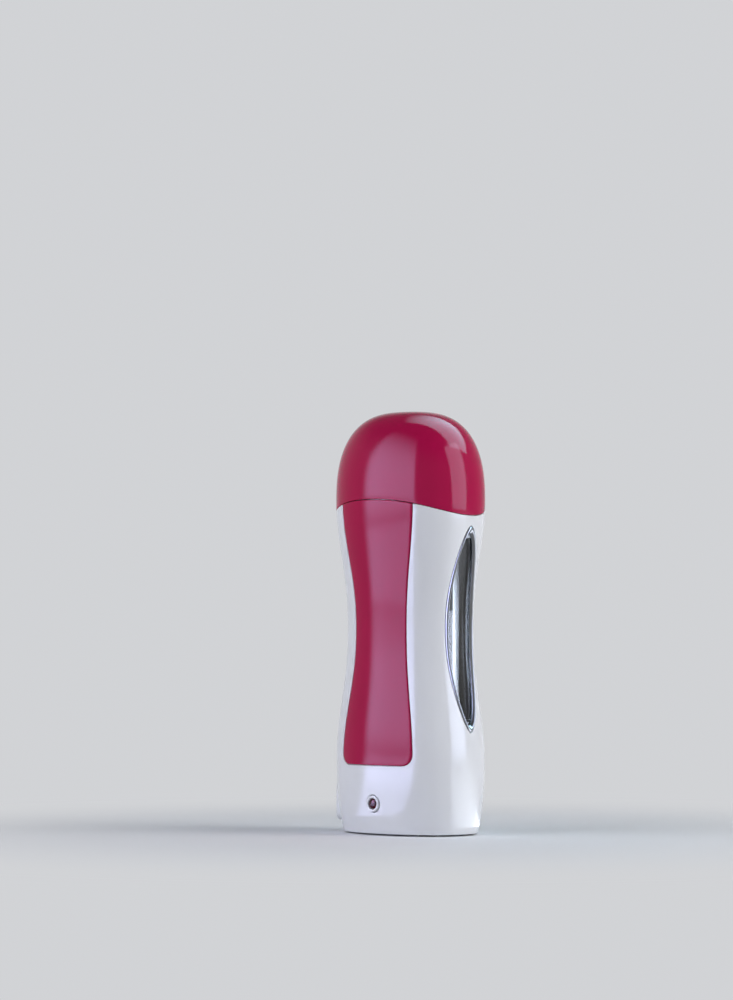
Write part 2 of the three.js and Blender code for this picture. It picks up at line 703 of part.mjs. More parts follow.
function baseCover() {
  const width = halfWidth(ledgeBottom) - SHELL_WALL - FIT;
  const depth = halfDepth(ledgeBottom) - SHELL_WALL - FIT;
  const plate = upright(oval(width, depth), BASE_BOTTOM, baseTop);
  const inLedge = upright(oval(width - LEDGE_WIDTH, depth - LEDGE_WIDTH), BASE_BOTTOM, bossTop);
  const bosses = feet.map(([x, y]) => rod(BOSS_DIAMETER, BASE_BOTTOM, bossTop, x, y).intersect(inLedge));
  const ribHalf = BOARD_WIDTH / 2;
  const ribFront = -boardFront + BOARD_THICKNESS + FIT;
  const rib = block(
    [-ribHalf, ribFront, BASE_BOTTOM],
    [ribHalf, ribFront + RIB_THICKNESS, baseTop + RIB_HEIGHT],
  );
  const headTop = baseHeadBottom + HEAD_HEIGHT + FIT;
  const cuts = feet.flatMap(([x, y]) => [
    rod(FOOT_DIAMETER + 2 * FIT, BASE_BOTTOM - OVERRUN, footSeat, x, y),
    rod(HEAD_DIAMETER + 2 * FIT, BASE_BOTTOM - OVERRUN, headTop, x, y),
    rod(SHANK_DIAMETER + 2 * FIT, BASE_BOTTOM, bossTop + OVERRUN, x, y),
  ]);
  const vents = levels(-1, 1, VENT_COUNT - 1).map((side) => {
    const x = (side * VENT_PITCH * (VENT_COUNT - 1)) / 2;
    const outline = roundedRectangle(VENT_WIDTH, VENT_LENGTH, VENT_WIDTH / 2, x);
    return upright(outline, BASE_BOTTOM - OVERRUN, baseTop + OVERRUN);
  });
  return cut(joined(plate, ...bosses, rib), ...cuts, ...vents);
}

function foot(x, y) {
  const radius = FOOT_DIAMETER / 2;
  const profile = [
    [0, 0], [radius - FOOT_CHAMFER, 0], [radius, FOOT_CHAMFER], [radius, FOOT_HEIGHT], [0, FOOT_HEIGHT],
  ].map((point) => new THREE.Vector2(...point));
  const geometry = new THREE.LatheGeometry(profile, ROUND_STEPS).rotateX(Math.PI / 2);
  return solid(geometry.translate(x, y, 0));
}

// An upright screw: its head at the bottom and its shank pointing up.
function uprightScrew(x, y, bottom, length) {
  return joined(
    rod(HEAD_DIAMETER, bottom, bottom + HEAD_HEIGHT, x, y),
    rod(SHANK_DIAMETER, bottom + HEAD_HEIGHT / 2, bottom + HEAD_HEIGHT + length, x, y),
  );
}

function baseScrew(x, y) {
  return uprightScrew(x, y, baseHeadBottom, BASE_SCREW_LENGTH);
}

function cupScrew(x) {
  const seat = cradleBottom - FIT;
  return uprightScrew(x, 0, seat - HEAD_HEIGHT, cupBottom + CUP_SCREW_BITE - seat);
}

function clampScrew(z) {
  return joined(
    frontRod(CLAMP_HEAD_DIAMETER, clampHead, clampHead + CLAMP_HEAD_HEIGHT, 0, z),
    frontRod(CLAMP_SHANK_DIAMETER, clampInner - CLAMP_SCREW_BITE, clampHead + CLAMP_HEAD_HEIGHT / 2, 0, z),
  );
}

function chamberCup() {
  const outline = (grow) => roundedRectangle(
    WELL_WIDTH + 2 * grow, WELL_DEPTH + 2 * grow, WELL_CORNER_RADIUS + grow,
  );
  const screwTop = cupBottom + CUP_SCREW_BITE + FIT;
  const slotMiddle = cupBottom + SLOT_RISE + SLOT_LENGTH / 2;
  const slot = roundedRectangle(SLOT_WIDTH, SLOT_LENGTH, SLOT_WIDTH / 2, 0, slotMiddle);
  const bosses = clampScrews.map((z) => frontRod(
    CLAMP_BOSS_DIAMETER, cupBack - CUP_WALL / 2, clampInner - FIT, 0, z,
  ));
  return cut(
    joined(
      upright(outline(CUP_WALL), cupBottom, cupTop),
      upright(outline(CUP_FLANGE_WIDTH), cupTop - CUP_FLANGE_THICKNESS, cupTop),
      ...bosses,
    ),
    upright(outline(0), cupBottom + CUP_FLOOR, cupTop + OVERRUN),
    sideward(slot, cupSide - CUP_WALL - OVERRUN, cupSide + OVERRUN),
    ...cupScrews.map((x) => rod(SHANK_DIAMETER + 2 * FIT, cupBottom - OVERRUN, screwTop, x)),
    ...clampScrews.map((z) => frontRod(
      CLAMP_SHANK_DIAMETER + 2 * FIT, cupBack + FIT, clampInner + OVERRUN, 0, z,
    )),
  );
}

function chamberGasket() {
  const outline = (grow) => roundedRectangle(
    WELL_WIDTH + 2 * grow, WELL_DEPTH + 2 * grow, WELL_CORNER_RADIUS + grow,
  );
  const bottom = gasketTop - GASKET_THICKNESS;
  return cut(
    upright(outline(FIT + GASKET_WIDTH), bottom, gasketTop),
    upright(outline(FIT), bottom - OVERRUN, gasketTop + OVERRUN),
  );
}

function chamberCradle() {
  const gap = SHELL_WALL + CRADLE_GAP;
  const plate = oval(halfWidth(cradleTop) - gap, halfDepth(cradleTop) - gap);
  const legBottom = bossTop + FIT;
  const boreTop = baseHeadBottom + HEAD_HEIGHT + BASE_SCREW_LENGTH + OVERRUN;
  return cut(
    joined(
      upright(plate, cradleBottom, cradleTop),
      ...feet.map(([x, y]) => rod(LEG_DIAMETER, legBottom, cradleTop, x, y)),
    ),
    ...feet.map(([x, y]) => rod(SHANK_DIAMETER + 2 * FIT, legBottom - OVERRUN, boreTop, x, y)),
    ...cupScrews.map((x) => rod(SHANK_DIAMETER + 2 * FIT, cradleBottom - OVERRUN, cradleTop + OVERRUN, x)),
    rod(WIRE_HOLE_DIAMETER, cradleBottom - OVERRUN, cradleTop + OVERRUN, wireHoleX),
  );
}

function insulatorSheet(inner) {
  const half = PTC_WIDTH / 2 + SHEET_MARGIN;
  const rise = PTC_HEIGHT / 2 + SHEET_MARGIN;
  return block([-half, inner, stackHeight - rise], [half, inner + SHEET_THICKNESS, stackHeight + rise]);
}

function ptcElement() {
  const half = PTC_WIDTH / 2;
  const rise = PTC_HEIGHT / 2;
  return block([-half, ptcInner, stackHeight - rise], [half, ptcInner + PTC_THICKNESS, stackHeight + rise]);
}

function clampStrap() {
  const rise = clampScrewOffset + CLAMP_WIDTH / 2;
  const outline = roundedRectangle(CLAMP_WIDTH, 2 * rise, CLAMP_WIDTH / 2, 0, stackHeight);
  return cut(
    frontward(outline, clampInner, clampInner + CLAMP_THICKNESS),
    ...clampScrews.map((z) => frontRod(
      CLAMP_SHANK_DIAMETER + 2 * FIT, clampInner - OVERRUN, clampHead + OVERRUN, 0, z,
    )),
  );
}

function thermostat() {
  const face = -cupSide - FIT;
  const back = face - THERMOSTAT_THICKNESS;
  const edge = thermostatHeight - THERMOSTAT_DIAMETER / 2;
  const middle = (face + back) / 2;
  const terminals = [-1, 1].map((side) => {
    const y = (side * THERMOSTAT_DIAMETER) / 4;
    return block(
      [middle - TERMINAL_THICKNESS / 2, y - TERMINAL_WIDTH / 2, edge - TERMINAL_LENGTH / 2],
      [middle + TERMINAL_THICKNESS / 2, y + TERMINAL_WIDTH / 2, edge + TERMINAL_LENGTH],
    );
  });
  return joined(sideRod(THERMOSTAT_DIAMETER, back, face, 0, thermostatHeight), ...terminals);
}

function thermalFuse() {
  const x = -cupSide - FIT - FUSE_DIAMETER / 2;
  return rod(FUSE_DIAMETER, fuseBottom, fuseBottom + FUSE_LENGTH, x);
}

// A dark sheet between chamber and shell, behind the rear edge of the window.
function heatShield() {
  const outer = SHELL_WALL + FIT;
  const edge = WINDOW_HALF_WIDTH + LENS_FLANGE_WIDTH + FIT;
  const quarter = block(
    [PTC_WIDTH / 2 + SHEET_MARGIN + FIT, edge, cradleTop + FIT],
    [farSide, farFront, collarBottom - FIT],
  );
  return skin(outer, outer + SHIELD_THICKNESS, BELLY_HEIGHT, collarBottom).intersect(quarter);
}

// A round wire along a smooth curve through its route's points.
function wire(route) {
  const path = new THREE.CatmullRomCurve3(route.map((point) => new THREE.Vector3(...point)));
  const section = new THREE.Shape(levels(0, 2 * Math.PI, WIRE_SIDES).slice(0, -1)
    .map((turn) => new THREE.Vector2(wireRadius * Math.cos(turn), wireRadius * Math.sin(turn))));
  return solid(new THREE.ExtrudeGeometry(section, { steps: WIRE_STEPS, extrudePath: path }));
}

function wireLive() {
  const y = -PIN_SPACING / 2;
  const lane = -wireRadius - FIT;
  const terminal = -THERMOSTAT_DIAMETER / 4;
  const terminalX = -cupSide - FIT - THERMOSTAT_THICKNESS / 2;
  const terminalEnd = thermostatHeight - THERMOSTAT_DIAMETER / 2 - TERMINAL_LENGTH / 2;
  const end = terminalEnd - FIT;
  return wire([
    [pinEnd + 2 * FIT, y, inletHeight],
    [pinEnd + 2 * LEG_DIAMETER / 3, y, inletHeight + wireRadius * 4],
    [pinEnd + LEG_DIAMETER / 2, y, inletHeight + LEG_DIAMETER * 2],
    [wireHoleX, lane, cradleBottom - LEG_DIAMETER / 2],
    [wireHoleX, lane, cradleTop + FIT],
    [terminalX, terminal, end - WIRE_DIAMETER],
    [terminalX, terminal, end],
  ]);
}

function wireNeutral() {
  const y = PIN_SPACING / 2;
  const lane = wireRadius + FIT;
  const ptcEdge = -PTC_WIDTH / 2 - FIT;
  const round = WELL_CORNER_RADIUS + CUP_WALL + WIRE_DIAMETER;
  const cornerX = WELL_CORNER_RADIUS - WELL_WIDTH / 2;
  const cornerY = WELL_DEPTH / 2 - WELL_CORNER_RADIUS;
  const corner = [cornerX - round * Math.SQRT1_2, cornerY + round * Math.SQRT1_2];
  return wire([
    [pinEnd + 2 * FIT, y, inletHeight],
    [pinEnd + 2 * LEG_DIAMETER / 3, y, inletHeight + wireRadius * 4],
    [pinEnd + LEG_DIAMETER / 2, y, inletHeight + LEG_DIAMETER * 2],
    [wireHoleX, lane, cradleBottom - LEG_DIAMETER / 2],
    [wireHoleX, lane, cradleTop + FIT],
    [wireHoleX, cornerY, cupBottom + LEG_DIAMETER],
    [...corner, stackHeight - WIRE_DIAMETER],
    [ptcEdge - WIRE_DIAMETER, ptcInner + PTC_THICKNESS / 2, stackHeight],
    [ptcEdge, ptcInner + PTC_THICKNESS / 2, stackHeight],
  ]);
}

const whitePlastic = { color: 0xd9dce6, roughness: 0.22, metalness: 0 };
const magentaPlastic = { color: 0x9a1448, roughness: 0.25, metalness: 0 };
const trimPlastic = { color: 0xb9bcc6, roughness: 0.25, metalness: 0 };
const clearPlastic = { color: 0x8e949c, roughness: 0.08, metalness: 0 };
const redPlastic = { color: 0x8c1020, roughness: 0.1, metalness: 0 };
const circuitBoard = { color: 0x2f5c38, roughness: 0.6, metalness: 0 };
const resistorCoat = { color: 0xc8a878, roughness: 0.5, metalness: 0 };
const steel = { color: 0xb4b4b8, roughness: 0.35, metalness: 1 };
const nickel = { color: 0xc9c5bb, roughness: 0.25, metalness: 1 };
const aluminium = { color: 0xc4c6ca, roughness: 0.4, metalness: 1 };
const rubber = { color: 0x4a4a4e, roughness: 0.85, metalness: 0 };
const silicone = { color: 0xa8a8aa, roughness: 0.7, metalness: 0 };
const heatPlastic = { color: 0x35363a, roughness: 0.6, metalness: 0 };
const filmSheet = { color: 0xb07a2e, roughness: 0.4, metalness: 0 };
const ceramic = { color: 0xe4e0d6, roughness: 0.7, metalness: 0 };
const feltSheet = { color: 0x1c1c1f, roughness: 0.95, metalness: 0 };
const blueSleeve = { color: 0x2a4a8c, roughness: 0.5, metalness: 0 };
const brownSleeve = { color: 0x5c3420, roughness: 0.5, metalness: 0 };

const group = new THREE.Group();

function add(name, body, finish) {
  const mesh = new THREE.Mesh(geometryOf(body), new THREE.MeshStandardMaterial(finish));
  mesh.name = name;
  group.add(mesh);
}

add('body_shell', bodyShell(), whitePlastic);
add('front_panel', frontPanel(), magentaPlastic);
add('cap_shell', capShell(), magentaPlastic);
add('neck_collar', neckCollar(), whitePlastic);
add('window_trim', windowTrim(), trimPlastic);
add('window_lens', windowLens(), clearPlastic);
add('lamp_ring', lampRing(), whitePlastic);
add('lamp_lens', lampLens(), redPlastic);
add('lamp_board', lampBoard(), circuitBoard);
add('lamp_resistor', lampResistor(), resistorCoat);
add('inlet_housing', inletHousing(), whitePlastic);
pins.forEach((y, i) => {
  add(`inlet_pin_${i + 1}`, sideRod(PIN_DIAMETER, pinTip, pinEnd, y, inletHeight), nickel);
});
add('base_cover', baseCover(), whitePlastic);
feet.forEach(([x, y], i) => {
  add(`foot_${i + 1}`, foot(x, y), rubber);
  add(`base_screw_${i + 1}`, baseScrew(x, y), steel);
});
add('chamber_cup', chamberCup(), aluminium);
add('chamber_gasket', chamberGasket(), silicone);
add('chamber_cradle', chamberCradle(), heatPlastic);
cupScrews.forEach((x, i) => add(`cup_screw_${i + 1}`, cupScrew(x), steel));
add('insulator_sheet_inner', insulatorSheet(insulatorInner), filmSheet);
add('ptc_element', ptcElement(), ceramic);
add('insulator_sheet_outer', insulatorSheet(insulatorOuter), filmSheet);
add('clamp_strap', clampStrap(), steel);
clampScrews.forEach((z, i) => add(`clamp_screw_${i + 1}`, clampScrew(z), steel));
add('thermostat', thermostat(), heatPlastic);
add('thermal_fuse', thermalFuse(), ceramic);
add('heat_shield', heatShield(), feltSheet);
add('wire_live', wireLive(), brownSleeve);
add('wire_neutral', wireNeutral(), blueSleeve);

export default group;
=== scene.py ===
"""Looks of the wax heater: housing, cap, panel, window, lamp, inlet, base and chamber."""

import math

import bmesh
import bpy
import numpy as np
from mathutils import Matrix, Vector
from mathutils.geometry import delaunay_2d_cdt


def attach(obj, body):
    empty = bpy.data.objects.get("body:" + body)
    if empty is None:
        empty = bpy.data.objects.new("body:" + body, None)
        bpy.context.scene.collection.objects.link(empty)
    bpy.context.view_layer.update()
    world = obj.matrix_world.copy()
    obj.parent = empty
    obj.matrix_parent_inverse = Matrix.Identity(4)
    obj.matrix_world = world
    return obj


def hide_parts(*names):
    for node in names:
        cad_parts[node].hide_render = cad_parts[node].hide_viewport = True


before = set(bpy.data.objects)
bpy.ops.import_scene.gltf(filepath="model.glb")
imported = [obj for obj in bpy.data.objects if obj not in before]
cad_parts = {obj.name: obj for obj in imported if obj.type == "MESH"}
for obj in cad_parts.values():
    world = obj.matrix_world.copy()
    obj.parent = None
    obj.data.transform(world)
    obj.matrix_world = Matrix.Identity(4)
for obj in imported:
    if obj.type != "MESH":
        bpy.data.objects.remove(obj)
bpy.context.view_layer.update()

# Sizes in millimetres

BELLY_HEIGHT = 36.0
WAIST_HEIGHT = 97.0
SHOULDER_HEIGHT = 158.0
TOTAL_HEIGHT = 200.0
LOWER_REACH = 61.0
UPPER_REACH = 61.0
WIDTHS = {"waist": 33.1, "belly": 39.1, "shoulder": 39.4, "foot": 35.0}
DEPTHS = {"waist": 23.0, "belly": 27.0, "shoulder": 27.2, "foot": 24.1}
SECTION_POWER = 2.2
WAIST_POWER = 2.4
FOOT_POWER = 2.6
DOME_RISE_POWER = 2.4
DOME_ROUND_POWER = 2.9

FIT = 0.3
EDGE_RADIUS = 0.35
SHELL_WALL = 2.5
SHELL_BOTTOM = 0.8
LEDGE_BOTTOM = 4.2
LEDGE_TOP = 4.9
LEDGE_WIDTH = 1.5
SEAM_SIDE_HEIGHT = 150.2
SEAM_RISE = 7.7

CAP_SKIRT_WALL = 3.1
CAP_TOP_WALL = 2.4
CAP_DOME_DELAY = 4.0

PANEL_BOTTOM = 32.8
PANEL_SIDE_INSET = 17.0
PANEL_CORNER_RADIUS = 5.5
PANEL_THICKNESS = 1.2
PANEL_EDGE_RADIUS = 0.45

WINDOW_HALF_LENGTH = 48.1
WINDOW_HALF_WIDTH = 9.4
WINDOW_ROUND_POWER = 1.15
TRIM_TIP_SHARE = 1.5
TRIM_PROUD = 0.4
TRIM_DEPTH = 1.4
TRIM_WIDTH = 1.9
LENS_FLANGE_WIDTH = 1.5
LENS_FLANGE_THICKNESS = 1.0

LAMP_HEIGHT = 15.0
LAMP_PROUD = 0.7
LAMP_RING_RADIUS = 3.9
LAMP_BORE_RADIUS = 2.6
LAMP_FLANGE_RADIUS = 5.1
LAMP_FLANGE_THICKNESS = 1.0
LAMP_FLANGE_SLACK = 0.9
LED_RADIUS = 2.3
BOARD_GAP = 0.55

INLET_HEIGHT = 14.8
INLET_SIZE = 19.0
INLET_CORNER_RADIUS = 3.0
INLET_FACE = -39.4
INLET_BACK = -26.2
INLET_BACK_WALL = 2.3
INLET_EDGE_RADIUS = 0.6
SOCKET_EDGE_RADIUS = 0.4
SOCKET_LOBE_RADIUS = 4.35
SOCKET_LOBE_OFFSET = 3.35
PIN_OFFSET = 4.3
PIN_HOLE_RADIUS = 1.5
EAR_HEIGHT = 11.6
EAR_WIDTH = 3.3
EAR_OFFSET = 10.85
EAR_THICKNESS = 1.5

WELL_WIDTH = 45.0
WELL_DEPTH = 27.0
WELL_CORNER_RADIUS = 8.0
CUP_TOP = 162.4
CUP_BOTTOM = 54.0
CUP_FLOOR = 4.0
SLOT_LENGTH = 78.0
SLOT_WIDTH = 8.0
SLOT_MIDDLE = 101.0
COLLAR_HALF_WIDTH = 36.0
COLLAR_HALF_DEPTH = 23.8
COLLAR_BOTTOM = 140.0
COLLAR_TOP = 166.0
COLLAR_WALL = 2.0
COLLAR_LIP_RADIUS = 1.5
MOUTH_BOTTOM = 164.0

BASE_BOTTOM = 1.4
BASE_TOP = 3.9
BASE_EDGE_RADIUS = 0.4
VENT_LENGTH = 14.0
VENT_WIDTH = 1.8
VENT_CHAMFER = 0.25
VENT_PLACES = (-8.4, -4.2, 0.0, 4.2, 8.4)
FOOT_PLACES = [(x, y) for x in (-20.0, 20.0) for y in (-9.8, 9.8)]
PIT_RADIUS = 5.05
BOSS_FOOT_RADIUS = 5.8
SCREW_HEAD_HEIGHT = 1.5
BASE_SCREW_SEAT = 2.8
CUP_SCREW_SEAT = 49.4
CUP_SCREW_PLACES = (-12.0, 12.0)

# Fineness, and the length that one radian of turn has where the skin is laid flat

TURN_STEPS = 160
WAVE_STEPS = 90
ACROSS_STEPS = 40
ARC_LENGTH = 35.0


# Form of the housing

def bend(value, power):
    """A power that keeps the sign."""
    value = np.asarray(value, float)
    return np.sign(value) * np.abs(value) ** power


def dome_share(height, foot, apex):
    rise = np.clip((height - foot) / (apex - foot), 0.0, 1.0)
    return (1.0 - rise ** DOME_RISE_POWER) ** (1.0 / DOME_ROUND_POWER)


def half_size(height, sizes):
    """Half of the housing's width or depth at a height."""
    height = np.asarray(height, float)
    drop = np.clip((BELLY_HEIGHT - height) / BELLY_HEIGHT, 0.0, 1.0) ** FOOT_POWER
    foot = sizes["belly"] - (sizes["belly"] - sizes["foot"]) * drop
    under = np.sin(np.clip((WAIST_HEIGHT - height) / LOWER_REACH, 0.0, 1.0) * math.pi / 2)
    over = np.sin(np.clip((height - WAIST_HEIGHT) / UPPER_REACH, 0.0, 1.0) * math.pi / 2)
    lower = sizes["waist"] + (sizes["belly"] - sizes["waist"]) * under ** WAIST_POWER
    upper = sizes["waist"] + (sizes["shoulder"] - sizes["waist"]) * over ** WAIST_POWER
    dome = sizes["shoulder"] * dome_share(height, SHOULDER_HEIGHT, TOTAL_HEIGHT)
    return np.select(
        [height < BELLY_HEIGHT, height < WAIST_HEIGHT, height < SHOULDER_HEIGHT],
        [foot, lower, upper], dome)


def on_oval(turn, half_width, half_depth, height):
    """Points on the rounded oval section. A turn of zero faces the front, a positive one +X."""
    turn = np.asarray(turn, float)
    x = half_width * bend(np.sin(turn), 2.0 / SECTION_POWER)
    y = -half_depth * bend(np.cos(turn), 2.0 / SECTION_POWER)
    return np.stack(np.broadcast_arrays(x, y, height), axis=-1).astype(float)


def on_skin(turn, height, inset):
    return on_oval(
        turn, half_size(height, WIDTHS) - inset, half_size(height, DEPTHS) - inset, height)


def turn_across(x, height, inset):
    """Turn of the front surface's point at a place across."""
    share = np.clip(x / (half_size(height, WIDTHS) - inset), -1.0, 1.0)
    return np.arcsin(bend(share, SECTION_POWER / 2.0))


def turn_along(y, height, inset, side):
    """Turn of a side surface's point at a place along Y, on the +X or the -X side."""
    share = np.clip(-y / (half_size(height, DEPTHS) - inset), -1.0, 1.0)
    return side * np.arccos(bend(share, SECTION_POWER / 2.0))


def seam_height(turn):
    return SEAM_SIDE_HEIGHT + SEAM_RISE * np.abs(np.cos(turn)) ** (4.0 / SECTION_POWER)


# Edge lines

def leaf_line(offset, count=96):
    """The window's pointed outline in Y and Z, as one closed line."""
    length = WINDOW_HALF_LENGTH + offset * TRIM_TIP_SHARE
    width = WINDOW_HALF_WIDTH + offset
    angle = np.linspace(0.0, 2.0 * math.pi, 2 * count, endpoint=False)
    y = width * bend(np.sin(angle), WINDOW_ROUND_POWER)
    z = WAIST_HEIGHT - length * np.cos(angle)
    return np.stack([y, z], axis=1)


def round_line(radius, middle, count=48):
    angle = np.linspace(0.0, 2.0 * math.pi, count, endpoint=False)
    return np.stack([middle[0] + radius * np.cos(angle), middle[1] + radius * np.sin(angle)],
                    axis=1)


def square_line(size, radius, middle, straight=8, corner=8, width=None):
    """A rounded rectangle's outline as one closed line."""
    right = (size if width is None else width) / 2.0 - radius
    top = size / 2.0 - radius
    points = []
    for quarter, (sx, sz) in enumerate([(1, -1), (1, 1), (-1, 1), (-1, -1)]):
        start = -math.pi / 2.0 + quarter * math.pi / 2.0
        for angle in np.linspace(start, start + math.pi / 2.0, corner + 1):
            points.append((sx * right + radius * math.cos(angle),
                           sz * top + radius * math.sin(angle)))
        nx, nz = [(1, 1), (-1, 1), (-1, -1), (1, -1)][quarter]
        angle = start + math.pi / 2.0
        end = (nx * right + radius * math.cos(angle), nz * top + radius * math.sin(angle))
        last = points[-1]
        for share in np.linspace(0.0, 1.0, straight + 1)[1:-1]:
            points.append(tuple(a + (b - a) * share for a, b in zip(last, end)))
    line = np.array(points)
    line[:, 1] += middle
    return line


def panel_edge(height, grow):
    return half_size(height, WIDTHS) - PANEL_SIDE_INSET + grow


def panel_corner(grow, drop):
    """Place across and height where the panel's side meets the seam."""
    height = SEAM_SIDE_HEIGHT + SEAM_RISE
    for _ in range(40):
        across = panel_edge(height, grow)
        height = seam_height(turn_across(across, height, 0.0)) - drop
    return float(across), float(height)


def panel_line(grow, drop, sides=70, corner=10, bottom=26):
    """The panel's outline in X and Z, from its upper left corner round the bottom to the
    upper right one. It lies outside the panel's own outline by grow."""
    radius = PANEL_CORNER_RADIUS + grow
    low = PANEL_BOTTOM + PANEL_CORNER_RADIUS
    middle = float(panel_edge(low, 0.0)) - PANEL_CORNER_RADIUS
    across, top = panel_corner(grow, drop)
    heights = np.linspace(top, low, sides + 1)
    side = np.stack([panel_edge(heights, grow), heights], axis=1)
    angles = np.linspace(0.0, -math.pi / 2.0, corner + 1)[1:]
    turn = np.stack([middle + radius * np.cos(angles), low + radius * np.sin(angles)], axis=1)
    base = np.stack([np.linspace(middle, 0.0, bottom // 2 + 1)[1:],
                     np.full(bottom // 2, low - radius)], axis=1)
    right = np.concatenate([side, turn, base])
    left = right[:-1] * [-1.0, 1.0]
    return np.concatenate([left, right[::-1]])


# Sheets of points and faces

def within(points, line):
    """Which points lie inside a closed line."""
    x, y = points[:, 0][:, None], points[:, 1][:, None]
    x0, y0 = line[:, 0][None], line[:, 1][None]
    x1, y1 = np.roll(line[:, 0], -1)[None], np.roll(line[:, 1], -1)[None]
    with np.errstate(divide="ignore", invalid="ignore"):
        hits = ((y0 > y) != (y1 > y)) & (x < (x1 - x0) * (y - y0) / (y1 - y0) + x0)
    return hits.sum(axis=1) % 2 == 1


def in_region(points, lines):
    """Which points lie inside the first line and outside the others."""
    keep = within(points, lines[0])
    for hole in lines[1:]:
        keep &= ~within(points, hole)
    return keep


def far_from(points, lines, gap):
    keep = np.ones(len(points), bool)
    for line in lines:
        for start in range(0, len(line), 200):
            part = line[start:start + 200]
            square = ((points[:, None, :] - part[None]) ** 2).sum(axis=2)
            keep &= square.min(axis=1) > gap * gap
    return keep


class Body:
    """Collects the points and faces of one piece, in millimetres."""

    def __init__(self):
        self.points = []
        self.faces = []

    def add(self, points):
        first = len(self.points)
        self.points.extend(tuple(float(v) for v in point) for point in points)
        return first

    def band(self, rows, closed=True, hoop=False):
        """Quads between rows of equal count, closed round each row, and round the rows too."""
        firsts = [self.add(row) for row in rows]
        count = len(rows[0])
        pairs = list(zip(firsts, firsts[1:])) + ([(firsts[-1], firsts[0])] if hoop else [])
        for low, high in pairs:
            for i in range(count if closed else count - 1):
                j = (i + 1) % count
                self.faces.append((low + i, low + j, high + j, high + i))

    def fan(self, row, middle):
        first = self.add(row)
        hub = self.add([middle])
        for i in range(len(row)):
            self.faces.append((first + i, first + (i + 1) % len(row), hub))

    def patch(self, lines, places, place, spacing):
        """Triangles over a flat region bounded by its first line and cut out by the others.
        places holds the lines' own points in space, and place puts the inner points there."""
        low, high = lines[0].min(axis=0), lines[0].max(axis=0)
        rise = spacing * math.sqrt(3.0) / 2.0
        grid = []
        for i, y in enumerate(np.arange(low[1] + rise / 2, high[1], rise)):
            x = np.arange(low[0] + (i % 2) * spacing / 2, high[0], spacing)
            grid.append(np.stack([x, np.full(len(x), y)], axis=1))
        inner = np.concatenate(grid)
        inner = inner[in_region(inner, lines)]
        inner = inner[far_from(inner, lines, spacing * 0.55)]
        flat = np.concatenate([*lines, inner])
        edges, start = [], 0
        for line in lines:
            count = len(line)
            edges.extend((start + i, start + (i + 1) % count) for i in range(count))
            start += count
        solved = delaunay_2d_cdt([Vector(p) for p in flat.tolist()], edges, [], 0, 1e-7, True)
        spots = np.array([tuple(v) for v in solved[0]])
        faces = np.array([f for f in solved[2] if len(f) == 3])
        keep = in_region(spots[faces].mean(axis=1), lines)
        known = np.concatenate([*places, place(inner)])
        points = [known[origin[0]] if origin else place(spots[i:i + 1])[0]
                  for i, origin in enumerate(solved[3])]
        first = self.add(points)
        self.faces.extend(tuple(int(v) + first for v in face) for face in faces[keep])

    def piece(self, name, *, smooth=35.0):
        """The finished mesh object, in metres, closed and with its faces outwards."""
        mesh = bpy.data.meshes.new(name)
        form = bmesh.new()
        spots = [form.verts.new(point) for point in self.points]
        for face in self.faces:
            if len(set(face)) == len(face):
                form.faces.new([spots[i] for i in face])
        bmesh.ops.remove_doubles(form, verts=form.verts, dist=0.002)
        bmesh.ops.dissolve_degenerate(form, dist=0.0005, edges=form.edges)
        loose = [v for v in form.verts if not v.link_faces]
        bmesh.ops.delete(form, geom=loose, context="VERTS")
        bmesh.ops.recalc_face_normals(form, faces=form.faces)
        if form.calc_volume(signed=True) < 0:
            bmesh.ops.reverse_faces(form, faces=form.faces)
        open_edges = sum(1 for edge in form.edges if len(edge.link_faces) != 2)
        if open_edges:
            print("open edges", name, open_edges)
        bmesh.ops.scale(form, vec=(0.001, 0.001, 0.001), verts=form.verts)
        form.to_mesh(mesh)
        form.free()
        piece = shown(name, mesh)
        mesh.shade_smooth()
        mesh.set_sharp_from_angle(angle=math.radians(smooth))
        return piece


def shown(name, data):
    """A new object in the scene."""
    thing = bpy.data.objects.new(name, data)
    bpy.context.scene.collection.objects.link(thing)
    return thing


def settle(piece):
    """Makes the result of a piece's modifiers its own mesh."""
    graph = bpy.context.evaluated_depsgraph_get()
    mesh = bpy.data.meshes.new_from_object(piece.evaluated_get(graph))
    piece.modifiers.clear()
    piece.data = mesh
    return mesh


def rounding(radius, steps=4):
    """Pairs of sideways place and depth round a quarter circle, from the face to the wall."""
    return [(radius * (1.0 - math.sin(a)), radius * (1.0 - math.cos(a)))
            for a in np.linspace(0.0, math.pi / 2.0, steps + 1)]


def around(profile, steps=48):
    """Rows of an upright round form from pairs of radius and height."""
    angle = np.linspace(0.0, 2.0 * math.pi, steps, endpoint=False)
    return [np.stack([radius * np.cos(angle), radius * np.sin(angle),
                      np.full(steps, float(height))], axis=1) for radius, height in profile]


def softened(corners, radius, steps=3):
    """A profile whose inner corners are rounded."""
    corners = [np.array(c, float) for c in corners]
    result = [corners[0]]
    for before, corner, after in zip(corners, corners[1:], corners[2:]):
        back, on = before - corner, after - corner
        reach = min(radius, 0.45 * np.linalg.norm(back), 0.45 * np.linalg.norm(on))
        start = corner + back / np.linalg.norm(back) * reach
        end = corner + on / np.linalg.norm(on) * reach
        for t in np.linspace(0.0, 1.0, steps + 1):
            result.append((1 - t) ** 2 * start + 2 * t * (1 - t) * corner + t * t * end)
    result.append(corners[-1])
    return [tuple(p) for p in result]


# Housing shell

def flat_of(points_turn, heights):
    return np.stack([points_turn * ARC_LENGTH, np.broadcast_to(heights, points_turn.shape)],
                    axis=1)


def place_on_skin(inset):
    def place(flat):
        return on_skin(flat[:, 0] / ARC_LENGTH, flat[:, 1], inset)
    return place


